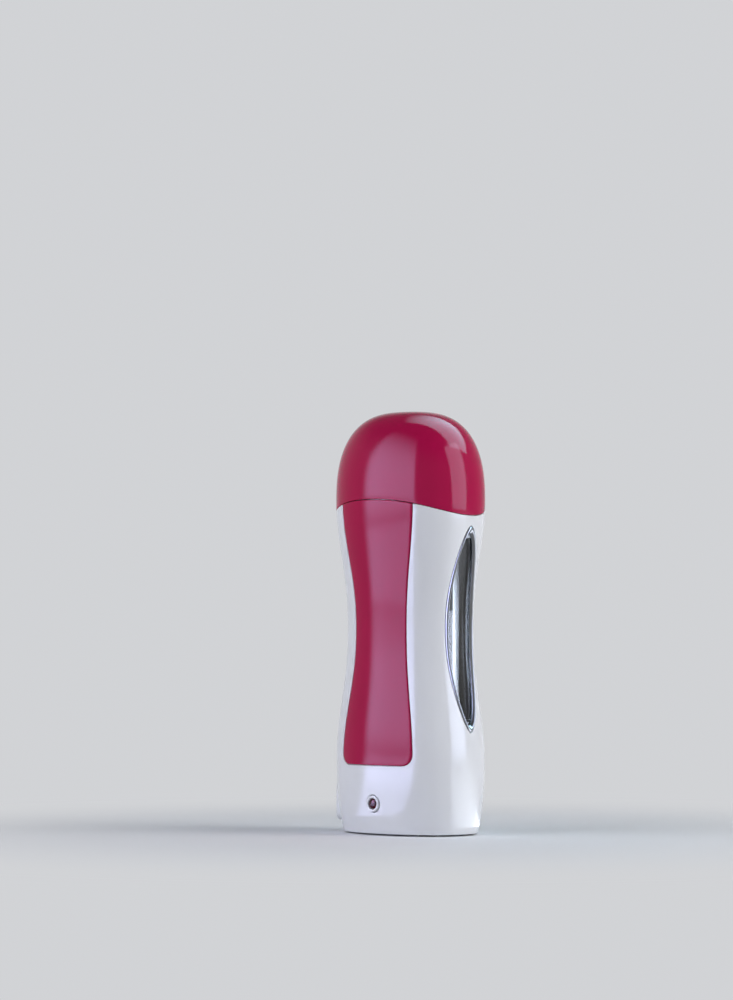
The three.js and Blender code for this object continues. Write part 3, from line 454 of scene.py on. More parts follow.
def side_line(line, inset, side):
    """A line in Y and Z laid on a side surface: its turns and its points in space."""
    turn = turn_along(line[:, 0], line[:, 1], inset, side)
    return flat_of(turn, line[:, 1]), on_skin(turn, line[:, 1], inset)


def front_line(line, inset):
    """The same for a line in X and Z on the front surface."""
    turn = turn_across(line[:, 0], line[:, 1], inset)
    return flat_of(turn, line[:, 1]), on_skin(turn, line[:, 1], inset)


def wave_part(side, drop, inset):
    """The top edge from the back to the panel's corner, on one side."""
    across, height = panel_corner(drop, drop)
    corner = float(turn_across(side * across, height, inset))
    outer = float(turn_across(side * across, height, 0.0))
    shares = np.linspace(0.0, 1.0, WAVE_STEPS)
    turn = side * math.pi + (corner - side * math.pi) * shares
    surface = side * math.pi + (outer - side * math.pi) * shares
    heights = seam_height(surface) - drop
    heights[-1] = height
    return turn, heights


def body_shell():
    body = Body()
    radius = EDGE_RADIUS
    recess = PANEL_THICKNESS + FIT
    across = panel_corner(0.0, 0.0)[0]
    bottom_turn = np.linspace(-math.pi, math.pi, TURN_STEPS + 1)

    def chain(drop, inset):
        left_turn, left_height = wave_part(-1.0, drop, inset)
        right_turn, right_height = wave_part(1.0, drop, inset)
        line = panel_line(drop, drop)
        notch_turn = turn_across(line[:, 0], line[:, 1], inset)
        turn = np.concatenate([left_turn, notch_turn[1:-1], right_turn[::-1]])
        height = np.concatenate([left_height, line[1:-1, 1], right_height[::-1]])
        return flat_of(turn, height), on_skin(turn, height, inset)

    def rim(inset):
        left_turn, left_height = wave_part(-1.0, 0.0, inset)
        right_turn, right_height = wave_part(1.0, 0.0, inset)
        ends = [float(turn_across(side * across, left_height[-1], 0.0)) for side in (-1.0, 1.0)]
        heights = seam_height(np.linspace(*ends, ACROSS_STEPS))[1:-1]
        inner = np.linspace(left_turn[-1], right_turn[-1], ACROSS_STEPS)[1:-1]
        turn = np.concatenate([left_turn, inner, right_turn[::-1]])
        height = np.concatenate([left_height, heights, right_height[::-1]])
        return flat_of(turn, height), on_skin(turn, height, inset)

    def leaf(grow):
        return leaf_line(FIT + grow)

    def lamp(grow):
        return round_line(LAMP_RING_RADIUS + FIT + grow, (0.0, LAMP_HEIGHT))

    def inlet(grow):
        return square_line(
            INLET_SIZE + 2 * (FIT + grow), INLET_CORNER_RADIUS + FIT + grow, INLET_HEIGHT)

    def right_line(line, inset):
        return side_line(line, inset, 1.0)

    def left_line(line, inset):
        return side_line(line, inset, -1.0)
    openings = ((leaf, right_line), (lamp, front_line), (inlet, left_line))

    def wall_face(low, top, steps, inset, grow, spacing):
        """One face of the wall, from a level at the bottom to the top edge, with its openings."""
        top_flat, top_space = top
        levels = np.linspace(low, top_flat[0, 1], steps)[1:-1]
        back = np.full(len(levels), math.pi)
        up = flat_of(back, levels)
        outline = np.concatenate([flat_of(bottom_turn, low), up, top_flat[::-1],
                                  up[::-1] * [-1.0, 1.0]])
        space = np.concatenate([on_skin(bottom_turn, low, inset), on_skin(back, levels, inset),
                                top_space[::-1], on_skin(-back, levels, inset)[::-1]])
        holes = [lay(opening(grow), inset) for opening, lay in openings]
        body.patch([outline, *[h[0] for h in holes]], [space, *[h[1] for h in holes]],
                   place_on_skin(inset), spacing)

    wall_face(SHELL_BOTTOM + radius, chain(radius, 0.0), 100, 0.0, radius, 1.7)

    for opening, lay in openings:
        rows = [lay(opening(grow), depth)[1] for grow, depth in rounding(radius)]
        rows.append(lay(opening(0.0), SHELL_WALL)[1])
        body.band(rows)

    rows = [chain(grow, depth)[1] for grow, depth in rounding(radius)]
    rows.append(chain(0.0, recess)[1])
    body.band(rows, closed=False)

    # floor of the panel's recess
    rim_flat, rim_space = rim(recess)
    line = panel_line(0.0, 0.0)
    turn_left = float(turn_across(line[0, 0], line[0, 1], recess))
    floor_turns = rim_flat[:, 0] / ARC_LENGTH
    first = int(np.argmin(np.abs(floor_turns - turn_left)))
    last = len(floor_turns) - 1 - first
    edge = chain(0.0, recess)[1][WAVE_STEPS - 1:1 - WAVE_STEPS]
    floor_space = np.concatenate([edge, rim_space[first + 1:last][::-1]])
    floor_line = floor_space[:, [0, 2]]

    def place_floor(flat):
        return on_skin(turn_across(flat[:, 0], flat[:, 1], recess), flat[:, 1], recess)
    body.patch([floor_line], [floor_space], place_floor, 3.0)

    rows = [rim(inset)[1] for inset in (recess, 2.0, SHELL_WALL)]
    body.band(rows, closed=False)

    wall_face(LEDGE_TOP, rim(SHELL_WALL), 50, SHELL_WALL, 0.0, 3.2)

    rim_width = float(half_size(LEDGE_BOTTOM, WIDTHS)) - SHELL_WALL
    rim_depth = float(half_size(LEDGE_BOTTOM, DEPTHS)) - SHELL_WALL
    rows = [on_skin(bottom_turn, SHELL_BOTTOM + grow, depth) for grow, depth in rounding(radius)]
    for inset, height in ((-0.3, SHELL_BOTTOM), (0.0, SHELL_BOTTOM + 0.3), (0.0, LEDGE_BOTTOM),
                          (LEDGE_WIDTH - 0.2, LEDGE_BOTTOM), (LEDGE_WIDTH, LEDGE_BOTTOM + 0.2),
                          (LEDGE_WIDTH, LEDGE_TOP)):
        rows.append(on_oval(bottom_turn, rim_width - inset, rim_depth - inset, height))
    rows.append(on_skin(bottom_turn, LEDGE_TOP, SHELL_WALL))
    body.band(rows, closed=False)
    return body.piece("housing_shell")


# Front panel

def front_panel():
    body = Body()

    def loop(drop, inset):
        line = panel_line(-FIT - drop, drop)
        turn = turn_across(line[:, 0], line[:, 1], inset)
        start = float(turn_across(line[0, 0], line[0, 1], 0.0))
        surface = np.linspace(-start, start, ACROSS_STEPS)[1:-1]
        top_turn = np.linspace(-float(turn[0]), float(turn[0]), ACROSS_STEPS)[1:-1]
        heights = seam_height(surface) - drop
        turn = np.concatenate([turn, top_turn])
        height = np.concatenate([line[:, 1], heights])
        return on_skin(turn, height, inset)

    rows = [loop(drop, inset) for drop, inset in rounding(PANEL_EDGE_RADIUS)]
    rows.append(loop(0.0, PANEL_THICKNESS - 0.15))
    rows.append(loop(0.15, PANEL_THICKNESS))
    body.band(rows)
    for row, inset, spacing in ((rows[0], 0.0, 1.5), (rows[-1], PANEL_THICKNESS, 3.0)):
        def place(flat, inset=inset):
            return front_line(flat, inset)[1]
        body.patch([row[:, [0, 2]]], [row], place, spacing)
    return body.piece("front_panel_skin")


# Window

def side_points(line, inset):
    return side_line(line, inset, 1.0)[1]


def window_trim():
    profile = softened([
        (-0.9, TRIM_DEPTH), (-0.15, TRIM_DEPTH), (0.0, TRIM_DEPTH - 0.2), (0.0, 0.35),
        (-0.35, -0.25), (-0.8, -TRIM_PROUD), (-1.15, -0.2), (-1.75, 0.75),
        (-TRIM_WIDTH, 1.1), (-TRIM_WIDTH, TRIM_DEPTH), (-0.9, TRIM_DEPTH),
    ], 0.25)[:-1]
    body = Body()
    body.band([side_points(leaf_line(offset), depth) for offset, depth in profile], hoop=True)
    return body.piece("window_trim_bead", smooth=60.0)


def window_lens():
    front = TRIM_DEPTH + FIT
    flange = SHELL_WALL + FIT
    back = flange + LENS_FLANGE_THICKNESS
    body = Body()
    rows = [side_points(leaf_line(offset), depth) for offset, depth in (
        (-0.3, front), (-0.09, front + 0.09), (0.0, front + 0.3), (0.0, flange),
        (LENS_FLANGE_WIDTH - 0.15, flange), (LENS_FLANGE_WIDTH, flange + 0.15),
        (LENS_FLANGE_WIDTH, back - 0.15), (LENS_FLANGE_WIDTH - 0.15, back))]
    body.band(rows)
    for row, inset in ((rows[0], front), (rows[-1], back)):
        def place(flat, inset=inset):
            return side_points(flat, inset)
        body.patch([row[:, [1, 2]]], [row], place, 1.6)
    return body.piece("window_pane", smooth=40.0)


# Lamp

LAMP_SKIN = float(half_size(LAMP_HEIGHT, DEPTHS))
LAMP_FACE = LAMP_SKIN + LAMP_PROUD
LAMP_FLANGE_FRONT = LAMP_SKIN - SHELL_WALL - LAMP_FLANGE_SLACK
BOARD_FRONT = float(half_size(LEDGE_BOTTOM, DEPTHS)) - SHELL_WALL - LEDGE_WIDTH - BOARD_GAP
LED_BACK = BOARD_FRONT + FIT


def frontward(rows):
    """Turns upright rows about the lamp's axis, so that their height points to the front."""
    return [np.stack([row[:, 0], -row[:, 2], LAMP_HEIGHT + row[:, 1]], axis=1) for row in rows]


def lamp_ring():
    back = LAMP_FLANGE_FRONT - LAMP_FLANGE_THICKNESS
    profile = softened([
        (LAMP_BORE_RADIUS, back + 0.5), (LAMP_BORE_RADIUS, back), (LAMP_FLANGE_RADIUS, back),
        (LAMP_FLANGE_RADIUS, LAMP_FLANGE_FRONT), (LAMP_RING_RADIUS, LAMP_FLANGE_FRONT),
        (LAMP_RING_RADIUS, LAMP_FACE), (LAMP_BORE_RADIUS, LAMP_FACE),
        (LAMP_BORE_RADIUS, back + 0.5),
    ], 0.6, 5)[:-1]
    body = Body()
    body.band(frontward(around(profile, 64)), hoop=True)
    return body.piece("lamp_bezel", smooth=60.0)


def lamp_lens():
    radius, tip = LED_RADIUS, LAMP_FACE + 0.2
    shoulder = tip - radius / 2
    arc = [(radius * math.cos(a), shoulder + radius / 2 * math.sin(a))
           for a in np.linspace(0.0, math.pi / 2.0, 14)[:-1]]
    profile = [(radius - 0.2, LED_BACK), (radius, LED_BACK + 0.2), (radius, LED_BACK + 3.0), *arc]
    body = Body()
    rows = frontward(around(profile, 48))
    body.band(rows)
    body.fan(rows[0], (0.0, -LED_BACK, LAMP_HEIGHT))
    body.fan(rows[-1], (0.0, -tip, LAMP_HEIGHT))
    return body.piece("lamp_lens_body", smooth=50.0)


# Mains inlet

def socket_line(grow=0.0, count=28):
    """The outline of two joined circles that a two-pin connector has."""
    radius, offset = SOCKET_LOBE_RADIUS + grow, SOCKET_LOBE_OFFSET
    turn = math.pi - math.acos(offset / radius)
    right = np.linspace(-turn, turn, count)
    left = np.linspace(math.pi - turn, math.pi + turn, count)
    points = [(offset + radius * math.cos(a), radius * math.sin(a)) for a in right[:-1]]
    points += [(-offset + radius * math.cos(a), radius * math.sin(a)) for a in left[:-1]]
    return np.array(points) + [0.0, INLET_HEIGHT]


def at_x(line, x):
    return np.stack([np.full(len(line), x), line[:, 0], line[:, 1]], axis=1)


def flat_face(body, lines, x, spacing=1.6):
    body.patch(lines, [at_x(line, x) for line in lines], lambda flat: at_x(flat, x), spacing)


def inlet_housing():
    body = Body()

    def outline(inset):
        return square_line(INLET_SIZE - 2 * inset, INLET_CORNER_RADIUS - inset, INLET_HEIGHT)
    rows = [at_x(outline(grow), INLET_FACE + depth)
            for grow, depth in rounding(INLET_EDGE_RADIUS, 5)]
    rows.append(at_x(outline(0.0), INLET_BACK - 0.3))
    rows.append(at_x(outline(0.3), INLET_BACK))
    body.band(rows)
    flat_face(body, [outline(INLET_EDGE_RADIUS), socket_line(SOCKET_EDGE_RADIUS)], INLET_FACE)
    floor = INLET_BACK - INLET_BACK_WALL
    socket = [at_x(socket_line(grow), INLET_FACE + depth)
              for grow, depth in rounding(SOCKET_EDGE_RADIUS, 4)]
    socket.append(at_x(socket_line(0.0), floor))
    body.band(socket)
    pins = [round_line(PIN_HOLE_RADIUS, (y, INLET_HEIGHT), 24) for y in (-PIN_OFFSET, PIN_OFFSET)]
    flat_face(body, [socket_line(0.0), *pins], floor)
    flat_face(body, [outline(0.3), *pins], INLET_BACK)
    for pin in pins:
        body.band([at_x(pin, floor), at_x(pin, INLET_BACK)])
    return body.piece("inlet_block")


def inlet_ears():
    """Two ears that hold the inlet from inside, where the shell's side curves away from them."""
    body = Body()
    corner = np.array([[EAR_OFFSET + EAR_WIDTH / 2, INLET_HEIGHT - EAR_HEIGHT / 2]])
    front = FIT - float(side_line(corner, SHELL_WALL, 1.0)[1][0, 0])
    for side in (-1.0, 1.0):
        place = [side * EAR_OFFSET, INLET_HEIGHT]
        outer = square_line(EAR_HEIGHT, 0.6, 0.0, straight=2, corner=4, width=EAR_WIDTH) + place
        inner = square_line(EAR_HEIGHT - 0.4, 0.4, 0.0, straight=2, corner=4,
                            width=EAR_WIDTH - 0.4) + place
        rows = [at_x(inner, front), at_x(outer, front + 0.2),
                at_x(outer, front + EAR_THICKNESS - 0.2), at_x(inner, front + EAR_THICKNESS)]
        body.band(rows)
        body.fan(rows[0], (front, *place))
        body.fan(rows[-1], (front + EAR_THICKNESS, *place))
    return body.piece("inlet_ears")


def inlet_pin(name, y):
    profile = [(0.35, INLET_FACE + 2.0), (0.8, INLET_FACE + 2.12), (1.1, INLET_FACE + 2.5),
               (1.2, INLET_FACE + 3.0), (1.2, -22.2), (1.0, -22.0)]
    rows = [np.stack([np.full(len(row), x), y + row[:, 0], INLET_HEIGHT + row[:, 1]], axis=1)
            for (radius, x), row in zip(profile, around(profile, 32))]
    body = Body()
    body.band(rows)
    body.fan(rows[0], (profile[0][1], y, INLET_HEIGHT))
    body.fan(rows[-1], (profile[-1][1], y, INLET_HEIGHT))
    return body.piece(name, smooth=50.0)


# Neck collar and chamber cup

def well_line(grow):
    return square_line(WELL_DEPTH + 2 * grow, WELL_CORNER_RADIUS + grow, 0.0, straight=14,
                       corner=12, width=WELL_WIDTH + 2 * grow)


def at_z(line, z):
    return np.stack([line[:, 0], line[:, 1], np.full(len(line), z)], axis=1)


def neck_collar():
    width, depth = COLLAR_HALF_WIDTH, COLLAR_HALF_DEPTH
    inside = SHELL_WALL + FIT
    turn = np.linspace(0.0, 2 * math.pi, TURN_STEPS, endpoint=False)

    def side(height, inset):
        return on_oval(turn, min(width, float(half_size(height, WIDTHS)) - inside) - inset,
                       min(depth, float(half_size(height, DEPTHS)) - inside) - inset, height)
    body = Body()
    lip = rounding(COLLAR_LIP_RADIUS, 5)
    rows = [side(COLLAR_BOTTOM, COLLAR_WALL - 0.2), side(COLLAR_BOTTOM, 0.3),
            side(COLLAR_BOTTOM + 0.3, 0.0)]
    rows += [side(height, 0.0) for height in (144.0, 148.0, 151.0, 153.0, 158.0, 162.0)]
    rows += [on_oval(turn, width - grow, depth - grow, COLLAR_TOP - drop)
             for grow, drop in reversed(lip)]
    body.band(rows)
    inner = [side(COLLAR_BOTTOM, COLLAR_WALL - 0.2)]
    inner += [side(height, COLLAR_WALL) for height in (140.4, 144.0, 148.0, 151.0, 153.0, 158.0)]
    inner.append(on_oval(turn, width - COLLAR_WALL, depth - COLLAR_WALL, MOUTH_BOTTOM))
    body.band(inner)
    top = rows[-1]
    lead = well_line(1.6)
    mouth = [at_z(well_line(grow), COLLAR_TOP - drop) for grow, drop in (
        (1.6, 0.0), (1.2, 0.12), (0.5, 0.55), (0.15, 0.85), (0.0, 1.1))]
    mouth.append(at_z(well_line(0.0), MOUTH_BOTTOM))
    body.band(mouth)
    body.patch([top[:, :2], lead], [top, mouth[0]],
               lambda flat: at_z(flat, COLLAR_TOP), 2.0)
    under = inner[-1]
    body.patch([under[:, :2], well_line(0.0)], [under, mouth[-1]],
               lambda flat: at_z(flat, MOUTH_BOTTOM), 2.5)
    return body.piece("neck_collar_ring")


def chamber_cup():
    """The cup with its flange. A cutter takes the viewing slot out of the wall at +X."""
    body = Body()
    slot = square_line(SLOT_LENGTH, SLOT_WIDTH / 2, SLOT_MIDDLE, straight=20, corner=10,
                       width=SLOT_WIDTH)
    floor = CUP_BOTTOM + CUP_FLOOR

    def wall(grow, height):
        return at_z(well_line(grow), height)
    outside = [wall(0.2, CUP_BOTTOM), wall(0.75, CUP_BOTTOM + 0.1), wall(1.0, CUP_BOTTOM + 0.8)]
    heights = list(np.linspace(CUP_BOTTOM + 3.0, CUP_TOP - 2.0, 44))
    outside += [wall(1.0, height) for height in heights]
    outside += [wall(1.15, CUP_TOP - 1.5), wall(1.6, CUP_TOP - 1.05), wall(2.8, CUP_TOP - 1.0),
                wall(3.0, CUP_TOP - 0.8), wall(3.0, CUP_TOP - 0.2), wall(2.8, CUP_TOP),
                wall(0.5, CUP_TOP), wall(0.12, CUP_TOP - 0.12), wall(0.0, CUP_TOP - 0.5)]
    inside = [wall(0.0, height) for height in reversed(heights)]
    inside += [wall(0.0, floor + 2.0), wall(-0.3, floor + 0.9), wall(-1.0, floor + 0.2),
               wall(-2.0, floor)]
    body.band(outside + inside)
    body.patch([well_line(0.2)], [outside[0]], lambda flat: at_z(flat, CUP_BOTTOM), 3.0)
    body.patch([well_line(-2.0)], [inside[-1]], lambda flat: at_z(flat, floor), 3.0)
    cup = body.piece("chamber_cup_wall")
    cutter = Body()
    rows = [at_x(slot, x) for x in (21.0, 25.0)]
    cutter.band(rows)
    cutter.fan(rows[0], (21.0, 0.0, SLOT_MIDDLE))
    cutter.fan(rows[-1], (25.0, 0.0, SLOT_MIDDLE))
    tool = cutter.piece("slot_cutter")
    trim = cup.modifiers.new("slot", "BOOLEAN")
    trim.object = tool
    trim.operation = "DIFFERENCE"
    trim.solver = "EXACT"
    settle(cup)
    bpy.data.objects.remove(tool)
    return cup


# Base cover

def vent_line(x, grow):
    return square_line(VENT_LENGTH + 2 * grow, VENT_WIDTH / 2 + grow, 0.0, straight=6, corner=6,
                       width=VENT_WIDTH + 2 * grow) + [x, 0.0]


def base_cover():
    body = Body()
    turn = np.linspace(0.0, 2 * math.pi, TURN_STEPS, endpoint=False)
    width = float(half_size(LEDGE_BOTTOM, WIDTHS)) - SHELL_WALL - FIT
    depth = float(half_size(LEDGE_BOTTOM, DEPTHS)) - SHELL_WALL - FIT
    bottom, top = BASE_BOTTOM, BASE_TOP

    def edge(inset, height):
        return on_oval(turn, width - inset, depth - inset, height)
    rows = [edge(grow, bottom + drop) for grow, drop in rounding(BASE_EDGE_RADIUS)]
    rows += [edge(0.0, top - 0.2), edge(0.2, top)]
    body.band(rows)
    vents = [vent_line(x, VENT_CHAMFER) for x in VENT_PLACES]
    vents_in = [vent_line(x, 0.0) for x in VENT_PLACES]
    pits = [round_line(PIT_RADIUS, place, 32) for place in FOOT_PLACES]
    under = rows[0]
    body.patch([under[:, :2], *pits, *vents],
               [under, *[at_z(p, bottom) for p in pits], *[at_z(v, bottom) for v in vents]],
               lambda flat: at_z(flat, bottom), 2.0)
    over = rows[-1]
    bosses = [round_line(BOSS_FOOT_RADIUS, place, 32) for place in FOOT_PLACES]
    body.patch([over[:, :2], *bosses, *vents_in],
               [over, *[at_z(p, top) for p in bosses], *[at_z(v, top) for v in vents_in]],
               lambda flat: at_z(flat, top), 3.0)
    for outer, inner in zip(vents, vents_in):
        body.band([at_z(outer, bottom), at_z((outer + inner * 2) / 3, bottom + 0.1),
                   at_z(inner, bottom + 0.35), at_z(inner, top)])
    for place in FOOT_PLACES:
        body.band([at_z(round_line(radius, place, 32), height) for radius, height in (
            (PIT_RADIUS, bottom), (4.85, bottom + 0.1), (4.8, bottom + 0.3), (4.8, 2.5),
            (3.3, 2.5), (3.3, 4.6), (1.75, 4.6), (1.75, 7.0), (5.3, 7.0), (5.5, 6.8), (5.5, 4.3),
            (BOSS_FOOT_RADIUS, top))])
    return body.piece("base_plate")


# Node trees

def tree_of(name, kind, inputs, outputs):
    """A node group with named sockets. Each input is a name, a kind and a value."""
    tree = bpy.data.node_groups.new(name, kind)
    for label, socket_kind, value in inputs:
        socket = tree.interface.new_socket(name=label, in_out="INPUT", socket_type=socket_kind)
        if value is not None:
            socket.default_value = value
    for label, socket_kind in outputs:
        tree.interface.new_socket(name=label, in_out="OUTPUT", socket_type=socket_kind)
    return tree, tree.nodes.new("NodeGroupInput"), tree.nodes.new("NodeGroupOutput")


def add_node(tree, kind, values=(), **settings):
    """A node with its settings, whose inputs take numbers, colours or other nodes' sockets."""
    node = tree.nodes.new(kind)
    for name, value in settings.items():
        setattr(node, name, value)
    pairs = values.items() if isinstance(values, dict) else enumerate(values)
    for key, value in pairs:
        if value is None:
            continue
        if isinstance(value, bpy.types.NodeSocket):
            tree.links.new(value, node.inputs[key])
        else:
            node.inputs[key].default_value = value
    return node


def sum_of(tree, operation, *values, clamp=False):
    node = add_node(tree, "ShaderNodeMath", values, operation=operation)
    node.use_clamp = clamp
    return node.outputs[0]


def cap_tree(material):
    """The cap as a sheet that is bent into an inner and an outer dome with a rounded rim."""
    sizes = [
        ("Half Width", WIDTHS["shoulder"]), ("Half Depth", DEPTHS["shoulder"]),
        ("Dome Foot", SHOULDER_HEIGHT), ("Apex", TOTAL_HEIGHT),
        ("Neck Draw Across", 0.00501), ("Neck Draw Along", 0.00334),
        ("Inner Half Width", WIDTHS["shoulder"] - CAP_SKIRT_WALL),
        ("Inner Half Depth", DEPTHS["shoulder"] - CAP_SKIRT_WALL),
        ("Inner Dome Foot", SHOULDER_HEIGHT + CAP_DOME_DELAY),
        ("Inner Apex", TOTAL_HEIGHT - CAP_TOP_WALL), ("Rim Side Height", SEAM_SIDE_HEIGHT + FIT),
        ("Rim Rise", SEAM_RISE), ("Rim Radius", EDGE_RADIUS), ("Section Power", SECTION_POWER),
        ("Rise Power", DOME_RISE_POWER), ("Round Power", DOME_ROUND_POWER),
    ]
    inputs = [("Geometry", "NodeSocketGeometry", None)]
    inputs += [(name, "NodeSocketFloat", value) for name, value in sizes]
    inputs += [("Rows", "NodeSocketInt", 62), ("Turns", "NodeSocketInt", 161)]
    tree, start, end = tree_of("Domed cap", "GeometryNodeTree", inputs,
                               [("Geometry", "NodeSocketGeometry")])
    size = start.outputs

    def m(operation, *values):
        return sum_of(tree, operation, *values)
    all_rows = m("MULTIPLY", size["Rows"], 2.0)
    grid = add_node(tree, "GeometryNodeMeshGrid", {
        "Size X": 1.0, "Size Y": 1.0, "Vertices X": all_rows, "Vertices Y": size["Turns"]})
    place = add_node(tree, "ShaderNodeSeparateXYZ",
                     [add_node(tree, "GeometryNodeInputPosition").outputs[0]])
    row = m("MULTIPLY", m("ADD", place.outputs[0], 0.5), m("SUBTRACT", all_rows, 1.0))
    turn = m("MULTIPLY", place.outputs[1], 2.0 * math.pi)
    from_rim = m("SUBTRACT", row, m("SUBTRACT", size["Rows"], 0.5))
    outer = m("GREATER_THAN", from_rim, 0.0)
    step = m("ROUND", m("SUBTRACT", m("ABSOLUTE", from_rim), 0.5))

    def chosen(inner_value, outer_value):
        return m("ADD", m("MULTIPLY", outer_value, outer),
                 m("MULTIPLY", inner_value, m("SUBTRACT", 1.0, outer)))
    half_width = chosen(size["Inner Half Width"], size["Half Width"])
    half_depth = chosen(size["Inner Half Depth"], size["Half Depth"])
    foot = chosen(size["Inner Dome Foot"], size["Dome Foot"])
    apex = chosen(size["Inner Apex"], size["Apex"])
    sign = m("SUBTRACT", m("MULTIPLY", outer, 2.0), 1.0)
    quarter = m("MULTIPLY", m("MINIMUM", m("DIVIDE", step, 4.0), 1.0), math.pi / 2.0)
    lift = m("MULTIPLY", size["Rim Radius"], m("SUBTRACT", 1.0, m("COSINE", quarter)))
    inset = m("MULTIPLY", m("MULTIPLY", size["Rim Radius"], sign),
              m("SUBTRACT", 1.0, m("SINE", quarter)))
    share = m("DIVIDE", m("MAXIMUM", m("SUBTRACT", step, 4.0), 0.0),
              m("SUBTRACT", size["Rows"], 5.0))
    left = m("POWER", m("SUBTRACT", 1.0, share), 3.0)
    section = m("DIVIDE", 2.0, size["Section Power"])
    across = m("SINE", turn)
    along = m("COSINE", turn)
    bent_across = m("MULTIPLY", m("SIGN", across), m("POWER", m("ABSOLUTE", across), section))
    bent_along = m("MULTIPLY", m("SIGN", along), m("POWER", m("ABSOLUTE", along), section))
    rim = m("ADD", size["Rim Side Height"],
            m("MULTIPLY", size["Rim Rise"], m("POWER", m("ABSOLUTE", bent_along), 2.0)))
    height = m("SUBTRACT", apex,
               m("MULTIPLY", m("SUBTRACT", m("SUBTRACT", apex, rim), lift), left))
    rise = m("MINIMUM", m("MAXIMUM", m("DIVIDE", m("SUBTRACT", height, foot),
                                       m("SUBTRACT", apex, foot)), 0.0), 1.0)
    dome = m("POWER", m("MAXIMUM", m("SUBTRACT", 1.0, m("POWER", rise, size["Rise Power"])), 0.0),
             m("DIVIDE", 1.0, size["Round Power"]))
    below = m("POWER", m("MAXIMUM", m("SUBTRACT", foot, height), 0.0), 2.0)
    draw = m("MULTIPLY", below, outer)
    width_here = m("SUBTRACT", m("SUBTRACT", m("MULTIPLY", half_width, dome), inset),
                   m("MULTIPLY", draw, size["Neck Draw Across"]))
    depth_here = m("SUBTRACT", m("SUBTRACT", m("MULTIPLY", half_depth, dome), inset),
                   m("MULTIPLY", draw, size["Neck Draw Along"]))
    at_apex = m("LESS_THAN", left, 0.000001)
    keep = m("SUBTRACT", 1.0, at_apex)
    spot = add_node(tree, "ShaderNodeCombineXYZ", [
        m("MULTIPLY", m("MULTIPLY", width_here, bent_across), m("MULTIPLY", keep, 0.001)),
        m("MULTIPLY", m("MULTIPLY", depth_here, bent_along), m("MULTIPLY", keep, -0.001)),
        m("MULTIPLY", height, 0.001)])
    placed = add_node(tree, "GeometryNodeSetPosition", {
        "Geometry": grid.outputs["Mesh"], "Position": spot.outputs[0]})
    merged = add_node(tree, "GeometryNodeMergeByDistance", {
        "Geometry": placed.outputs[0], "Distance": 0.000004})
    outward = add_node(tree, "GeometryNodeFlipFaces", [merged.outputs[0]])
    single = add_node(tree, "GeometryNodeRealizeInstances", [outward.outputs[0]])
    coated = add_node(tree, "GeometryNodeSetMaterial", {
        "Geometry": single.outputs[0], "Material": material})
    tree.links.new(coated.outputs[0], end.inputs[0])
    return tree


def repeat_tree(material):
    """Sets one pattern piece on each point of a small mesh of places."""
    tree, start, end = tree_of("Repeated piece", "GeometryNodeTree", [
        ("Geometry", "NodeSocketGeometry", None), ("Pattern", "NodeSocketObject", None),
        ("Turn Spread", "NodeSocketFloat", 1.2),
        ("Seed", "NodeSocketInt", 7), ("Material", "NodeSocketMaterial", material),
    ], [("Geometry", "NodeSocketGeometry")])
    size = start.outputs
    pattern = add_node(tree, "GeometryNodeObjectInfo", {"Object": size["Pattern"]})
    spread = add_node(tree, "FunctionNodeRandomValue", {
        "Seed": size["Seed"], 3: size["Turn Spread"]}, data_type="FLOAT")
    twist = add_node(tree, "ShaderNodeCombineXYZ", [0.0, 0.0, spread.outputs[1]])
    placed = add_node(tree, "GeometryNodeInstanceOnPoints", {
        "Points": size["Geometry"], "Instance": pattern.outputs["Geometry"],
        "Rotation": twist.outputs[0]})
    single = add_node(tree, "GeometryNodeRealizeInstances", [placed.outputs[0]])
    coated = add_node(tree, "GeometryNodeSetMaterial", {
        "Geometry": single.outputs[0], "Material": size["Material"]})
    tree.links.new(coated.outputs[0], end.inputs[0])
    return tree


def grown(name, tree, values=None, points=()):
    """Runs a node tree on a mesh of points and keeps the result as a plain mesh object."""
    seed = bpy.data.meshes.new(name + "_places")
    seed.from_pydata([tuple(v * 0.001 for v in point) for point in points], [], [])
    holder = shown(name, seed)
    grow = holder.modifiers.new("grow", "NODES")
    grow.node_group = tree
    for item in tree.interface.items_tree:
        if item.item_type == "SOCKET" and item.in_out == "INPUT" and item.name in (values or {}):
            grow[item.identifier] = values[item.name]
    mesh = settle(holder)
    mesh.name = name
    mesh.shade_smooth()
    mesh.set_sharp_from_angle(angle=math.radians(40.0))
    return holder


# Shader node groups

